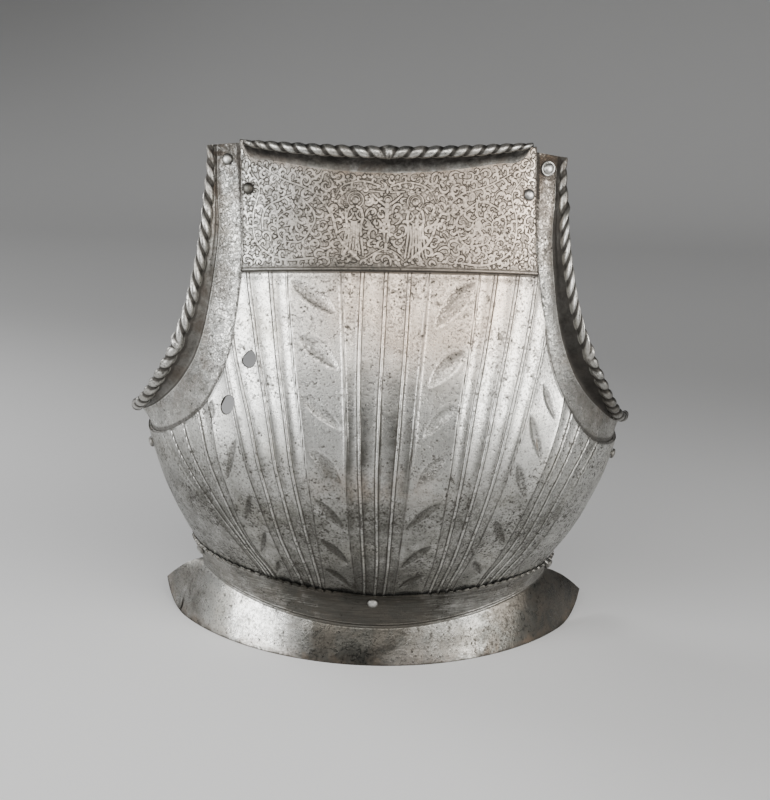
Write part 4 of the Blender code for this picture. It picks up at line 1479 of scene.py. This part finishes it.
def fluted_steel():
    """Lines with dirt in them, and dull stippled leaves whose stippled side also gets painted
    shade. Towards the waist the steel grows greyer and duller with patina and with painted dark
    reflection. Painted dark reflection also lies in the middle of the chest and on the outer side
    of each flute, and a painted warm reflection lies in a band low in the middle.
    """
    steel = Steel("fluted_steel")
    noise, x, z = steel.noise, steel.x, steel.z
    double, single, leaf, place = steel.values("double", "single", "leaf", "leaf_place")
    step, edge, outer, flute = steel.values("step", "edge", "outer", "flute")
    # Lower on the chest: patina and painted dark reflection, both growing towards the waist.
    low = (z + (noise(14.0) - 0.5) * 0.022).ramp(0.190, 0.110)
    incised = double.bell(1.35, 0.46)
    line = single.bell(0.0, 0.56)
    broken = noise(180.0, 3.0).ramp(0.30, 0.55) * 0.5 + 0.62
    stipple = noise(560.0, 3.0, 0.7).ramp(0.44, 0.60)
    sunk = leaf.ramp(0.5, -0.9)
    fold = step.bell(-0.35, 0.75)
    bead = double.bell(0.0, 0.8)
    foot = z.ramp(0.21, 0.13)
    # The stippled side of each leaf, and the whole of the lower leaves, which also get painted
    # shade.
    scooped = sunk * place.ramp(-0.55, 0.35).most(z.ramp(0.222, 0.190))
    # Painted reflection: a dark stripe along the outer side of each flute, strongest at mid height.
    shaded = outer.ramp(0.30, 0.92) * (z.bell(0.178, 0.030) * 0.66 + 0.18)
    dark = (
        incised * 0.95 * broken + line * 1.05 * broken
        + scooped * (foot * 0.18 + 0.50) * (stipple + 0.16)
        + leaf.bell(0.6, 1.3) * place.ramp(0.0, 0.8) * stipple * 0.45
        + fold * 0.95 + flute * foot * stipple.ramp(0.2, 0.9) * 0.52 + bead * foot * -0.6
        + edge.bell(0.0, 0.75) * 1.1
    )
    height = (
        incised * -0.34 + double.bell(0.0, 0.75) * 0.18 + line * -0.40
        + single.bell(1.2, 0.5) * 0.10 + sunk * (stipple - 0.5) * -0.14 + fold * -0.30
        + edge.ramp(1.8, 0.0) * -0.35
    )
    # A painted warm reflection: a band low in the middle of the chest, laid on in warm and brown
    # tones.
    warm_reflection = z.bell(0.150, 0.013) * x.bell(0.0, 0.042) * noise(60.0, 4.0).ramp(0.34, 0.62)
    # Duller low down with patina and painted shade, on the leaves' stippled side and the flutes'
    # outer sides with painted shade, and in the middle of the chest with painted dark reflection.
    # The beads keep less of it.
    dull = (
        low * (1.0 - x * 2.0) * 0.86 + scooped * 0.46 + shaded
        + x.bell(-0.004, 0.052) * (z.bell(0.195, 0.045) * 0.34 + 0.34)
    )
    return steel_surface(
        steel, low * 0.47 + 0.08, low * 0.30 + 1.0, dark, height, brown=warm_reflection * 0.4,
        dull=dull * (1.0 - bead * 0.75), warm=warm_middle(steel, 1.7) + warm_reflection * 0.55,
    )


def etched_steel():
    """A dark grainy ground between the strokes, darker along their outlines."""
    steel = Steel("etched_steel")
    noise, x = steel.noise, steel.x
    etch, step, neck, edge = steel.values("etch", "step", "neck", "edge")
    ground = etch.ramp(0.05, 0.40)
    outline = etch.bell(0.40, 0.36)
    grain = noise(900.0, 3.0, 0.7).ramp(0.44, 0.62)
    patchy = noise(28.0, 4.0, 0.65).ramp(0.34, 0.60)
    broken = noise(210.0, 3.0, 0.6).ramp(0.38, 0.60)
    border = step.ramp(2.4, 4.4)
    fold = step.bell(0.2, 0.75)
    dark = (
        ground * border * 0.40 * (grain + patchy * 0.4 + 0.25)
        + outline * border * (patchy * 0.35 + broken * 0.75 + 0.28)
        + fold * 0.95 + step.bell(2.6, 0.7) * 0.75
        + step.ramp(9.0, 3.0) * 0.30 * noise(120.0, 4.0) + edge.bell(0.0, 0.75) * 1.1
    )
    height = (
        etch.ramp(0.40, -0.05) * border * 0.20 + fold * -0.3 + grain * ground * -0.05
        + edge.ramp(1.8, 0.0) * -0.35
    )
    dull = x.bell(-0.01, 0.05) * 0.46 + x * -2.2 + step.ramp(12.0, 3.0) * 0.25 + 0.60
    return steel_surface(
        steel, 0.26, 0.80, dark, height, brown=neck.ramp(6.0, 0.0) * 0.5, dull=dull,
        warm=warm_middle(steel, 2.4),
    )


def rope_dark(steel, groove):
    """Dark in the grooves between the strands: dirt, and painted shade where the strands meet."""
    return groove.ramp(0.08, 0.62) * 1.05 * (steel.noise(260.0, 3.0) * 0.5 + 0.75)


def neck_steel():
    steel = Steel("neck_steel")
    groove, flange = steel.values("groove", "flange")
    deep = rope_dark(steel, groove)
    # The flange's underside between the fold and the rope: painted shade, darkest towards the rope,
    # in streaky patches and with some brown.
    under = flange.ramp(1.05, 0.9) * flange.ramp(-0.05, 0.12)
    patch = steel.noise(150.0, 5.0, 0.7)
    dark = deep + under * (patch + 0.30) + flange.bell(0.0, 0.07) * 0.5
    return steel_surface(
        steel, 0.45, 0.8, dark, groove * -0.16 + under * patch * 0.5, brown=under * 0.35 + 0.34,
        base_rough=0.24, dull=0.12,
        deep=under * flange.ramp(0.08, 0.7) * (patch + 0.30) + deep * 0.25,
    )


def gusset_steel():
    """Faint etching on the face; a dark gutter with dirty lines and painted shade, the painted
    shade heavier on the right and low down; and a rope that is duller low and on the right.
    """
    steel = Steel("gusset_steel_aged")
    noise, x, z = steel.noise, steel.x, steel.z
    groove, zone, gutter, bare = steel.values("groove", "zone", "gutter", "bare")
    deep = rope_dark(steel, groove)
    in_gutter = zone.ramp(0.5, 1.0) * zone.ramp(1.9, 1.2)
    high = z.ramp(0.27, 0.33)
    right = x.ramp(-0.05, 0.05)
    lines = gutter.bell(0.06, 0.07) + gutter.bell(0.42, 0.09) * high + gutter.bell(0.95, 0.10)
    swirl = noise(230.0, 1.0, 0.5, 2.6)
    etch = swirl.bell(0.42, 0.018) + swirl.bell(0.50, 0.018) + swirl.bell(0.58, 0.018)
    broken = noise(120.0, 3.0).ramp(0.32, 0.56)
    on_face = zone.ramp(0.5, 0.2)
    top = z.ramp(0.325, 0.372)
    beside = on_face * bare.ramp(9.0, 22.0) * 0.25
    # In the gutter: dark dirty lines, with painted shade heavier on the right and lighter high on
    # the left.
    dark = (
        deep + in_gutter * (high * (1.0 - right) * -0.45 + right * 0.25 + lines * 0.6 + 0.80)
        + etch * on_face * (broken + 0.25) * 0.46 + bare.ramp(4.4, 2.6) * 0.7
        + top * (noise(70.0, 4.0) + 0.15) + beside
    )
    rope = zone.ramp(1.5, 1.9) * zone.ramp(3.4, 2.6)
    low = z.ramp(0.235, 0.205) * (right * 0.4 + 0.45)
    # Painted shade deep in the gutter, in the SHADE tone, heavier on the right and low down.
    shade = (
        in_gutter * (right * 0.30 + 0.20) * gutter.ramp(-0.2, 0.4)
        * (z.ramp(0.350, 0.275) * 0.82 + 0.18) * (noise(130.0, 4.0) + 0.55)
    )
    return steel_surface(
        steel, 0.30, 0.80, dark, groove * -0.16 + etch * on_face * -0.12,
        brown=in_gutter * 0.5 + top * 0.8 + beside * 0.8 + 0.18, base_rough=0.27,
        dull=rope * (right * 0.20 + 0.18) + low + on_face * 0.03,
        warm=on_face * right * z.ramp(0.26, 0.34) * 0.6, deep=shade + deep * 0.25,
    )


def lame_steel():
    """Streaks along the band, worn folds, and on the flange broad bright and dull patches of
    painted reflection, with a warm painted highlight near the rim right of the middle. The band is
    darkened by patina and painted shade, most in its middle, and painted shade darkens the nicks
    and the slit in the rim.
    """
    steel = Steel("lame_steel_aged")
    noise, x = steel.noise, steel.x
    crease, nick, top, rim, slit = steel.values("crease", "nick", "top_edge", "rim_edge", "slit")
    folds = crease.bell(0.0, 0.50) + crease.bell(2.2, 0.42)
    band = crease.ramp(-1.0, 0.6)
    flange = 1.0 - band
    along = steel.make("Mapping", "Vector", Vector=steel.place, Scale=(60.0, 60.0, 900.0))
    streak = noise(1.0, 4.0, 0.7, place=along) - 0.5
    stained = noise(85.0, 5.0, 0.7).ramp(0.42, 0.58)
    # The middle of the band, under the belly of the plate, where painted shade goes.
    middle = x.bell(0.0, 0.09) * band
    line = top.bell(2.6, 0.35)
    # Painted shade in the nicks of the top edge, in the slit of the rim and over the middle of the
    # band.
    dark = (
        folds * 0.40 + nick * 0.40 + line * 0.35 + rim.bell(0.0, 0.75)
        + rim.ramp(4.5, 0.5) * stained * 0.75 + slit.ramp(1.5, 1.0) * 1.2
        + middle * (streak * 1.2 + 0.36)
    )
    # A painted warm highlight on the flange near the rim, right of the middle.
    lit = x.bell(0.024, 0.026) * rim.ramp(20.0, 6.0)
    # Painted reflection on the flange: dull in the middle and at both ends, leaving a bright patch
    # on the left and the highlight right of the middle.
    ends = (
        x.bell(-0.020, 0.046) * (1.0 - lit) * 2.1 + x.ramp(0.060, 0.105) * 1.9
        + x.ramp(-0.118, -0.136) * 1.2 + x.ramp(-0.06, 0.0) * 0.62
    )
    # The band: patina and painted shade, most in the middle, with streaks. The flange: the painted
    # reflection patches, with streaks.
    dull = (
        band * (x.bell(-0.01, 0.06) * 1.2 + 0.95) + streak * band * 1.6 + ends * flange
        + streak * flange * 0.7
    )
    return steel_surface(
        steel, 0.30, 0.85, dark, folds * -0.28 + line * -0.1,
        brown=rim.ramp(9.0, 1.0) * 0.3 + x.ramp(0.07, 0.13) * 0.08 + 0.14, base_rough=0.24,
        dull=dull, warm=lit * 0.4, deep=middle * (streak + 0.22),
    )


def inside_steel():
    steel = Steel("inside_steel")
    dark, hammered = steel.noise(35.0, 5.0) * 0.55, steel.cells(70.0) * 0.55
    return steel_surface(steel, 0.85, 1.0, dark, hammered, brown=0.55, base_rough=0.42)


def edge_steel():
    steel = Steel("edge_steel")
    wall, = steel.values("wall")
    # Painted shade on the walls of the lance-rest holes, in dark and in the SHADE tone.
    wall = wall.ramp(0.20, 0.60)
    dark = (steel.noise(90.0, 4.0).ramp(0.42, 0.60) * 0.6).most(wall)
    return steel_surface(steel, 0.45, 0.8, dark, brown=0.35, dull=0.45, deep=wall * 0.7)


def rivet_metal(name, patina_and_shade, brown, dull, rough):
    steel = Steel(name)
    scratch = steel.noise(900.0, 4.0, 0.7, 0.5) * 0.05
    return steel_surface(steel, patina_and_shade, 0.6, 0.0, scratch, brown, rough, dull)


# ---- Stage, light and camera


def floor_paper():
    """Pale paper with painted shade: it shades off to grey as it runs back, darkens in front of the
    object, and changes a little from side to side.
    """
    paper = Steel("floor_paper")
    x, y = paper.x, paper.y
    shade = (
        y.ramp(-0.20, 0.25) * 0.125 + y.ramp(1.4, 2.5) * 0.31
        + (y + x * 0.25).ramp(0.25, 0.85) * 0.49
        + x.ramp(0.05, 0.25) * y.ramp(0.75, 0.25) * 0.11
        + x.ramp(-0.1, -0.6) * y.ramp(0.7, 1.5) * 0.05
        + x * y.ramp(0.7, 1.1) * -0.125 + y.ramp(-0.26, -0.80) * 0.80
        + (paper.noise(3.0) - 0.5) * 0.015
    )
    colour = paper.blend(paper.clip(shade), PAPER, PAPER_SHADE)
    paper.put(paper.shader.inputs, Base_Color=colour, Roughness=0.7, Specular_IOR_Level=0.2)
    return paper.material


def make_stage():
    """A pale floor that sweeps up behind the object."""
    front, bend, radius, top, half_width = -3.0, 1.3, 1.2, 5.0, 4.0
    profile = [(front, 0.0), (bend, 0.0)]
    for turn in np.linspace(0.0, math.pi / 2, 24)[1:]:
        profile.append((bend + radius * math.sin(turn), radius * (1 - math.cos(turn))))
    profile.append((bend + radius, top))
    across = np.linspace(-half_width, half_width, 9)
    points = [(x, y, z) for y, z in profile for x in across]
    mesh = bpy.data.meshes.new("floor")
    quads = grid_faces(len(profile), len(across), flip=True)
    mesh.from_pydata(points, [], quads.tolist())
    mesh.shade_smooth()
    mesh.materials.append(floor_paper())
    floor = bpy.data.objects.new("floor", mesh)
    bpy.context.scene.collection.objects.link(floor)


def make_lights():
    """Soft area lights aimed at the chest, and a dim even sky."""
    chest = Vector((0.0, 0.0, 0.22))
    for name, place, size, power, colour in (
        ("soft_front", (0.1, -2.1, 1.30), (2.2, 0.8), 34.0, (1.0, 0.985, 0.96)),
        ("soft_left", (-1.75, -1.25, 0.55), (1.5, 1.1), 46.0, (0.98, 0.99, 1.0)),
        ("soft_right", (1.75, -1.25, 0.55), (1.4, 1.0), 40.0, (1.0, 0.99, 0.97)),
        ("soft_left_back", (-1.5, 0.9, 0.85), (0.9, 1.0), 16.0, (1.0, 1.0, 1.0)),
    ):
        data = bpy.data.lights.new(name, "AREA")
        data.shape = "RECTANGLE"
        data.size, data.size_y = size
        data.energy, data.color = power, colour
        light = bpy.data.objects.new(name, data)
        light.location = place
        light.rotation_euler = (chest - Vector(place)).to_track_quat("-Z", "Y").to_euler()
        bpy.context.scene.collection.objects.link(light)
    world = bpy.data.worlds.new("studio")
    world.use_nodes = True
    bpy.context.scene.world = world
    sky = world.node_tree.nodes["Background"]
    sky.inputs["Color"].default_value = (0.55, 0.56, 0.58, 1.0)
    sky.inputs["Strength"].default_value = 0.12


def make_camera():
    """The photo's angle: level with a slight look down and a slight roll."""
    data = bpy.data.cameras.new("camera")
    data.sensor_width = 36.0
    data.lens = 95.92
    data.clip_end = 50.0
    camera = bpy.data.objects.new("camera", data)
    place = np.array([0.0, -1.4175, 0.651]) + SHIFT
    target = np.array([0.0042, 0.0, 0.20475]) + SHIFT
    ahead = unit(target - place)
    right = unit(np.cross(ahead, UP))
    up = np.cross(right, ahead)
    roll = math.radians(1.8)
    across = math.cos(roll) * right + math.sin(roll) * up
    top = -math.sin(roll) * right + math.cos(roll) * up
    rows = np.stack([across, top, -ahead, place], axis=1).tolist()
    camera.matrix_world = Matrix([*rows, (0.0, 0.0, 0.0, 1.0)])
    bpy.context.scene.collection.objects.link(camera)
    bpy.context.scene.camera = camera


def main():
    fluted, edge, inside = fluted_steel(), edge_steel(), inside_steel()
    make_field(fluted)
    make_band(etched_steel())
    make_inside(inside)
    make_plate_edges(edge)
    make_hole_rims(edge)
    make_neck(neck_steel())
    gussets = gusset_steel()
    for side in SIDES:
        make_gusset(side, gussets)
    make_lame(lame_steel())
    pale = rivet_metal("rivet_pale_steel", 0.18, 0.05, 0.42, 0.34)
    dark = rivet_metal("rivet_dark_steel", 0.95, 0.10, 1.35, 0.26)
    for row in RIVETS:
        make_rivet(*row, dark if row[0] == "rivet_band_left" else pale)
    make_stage()
    make_lights()
    make_camera()


main()
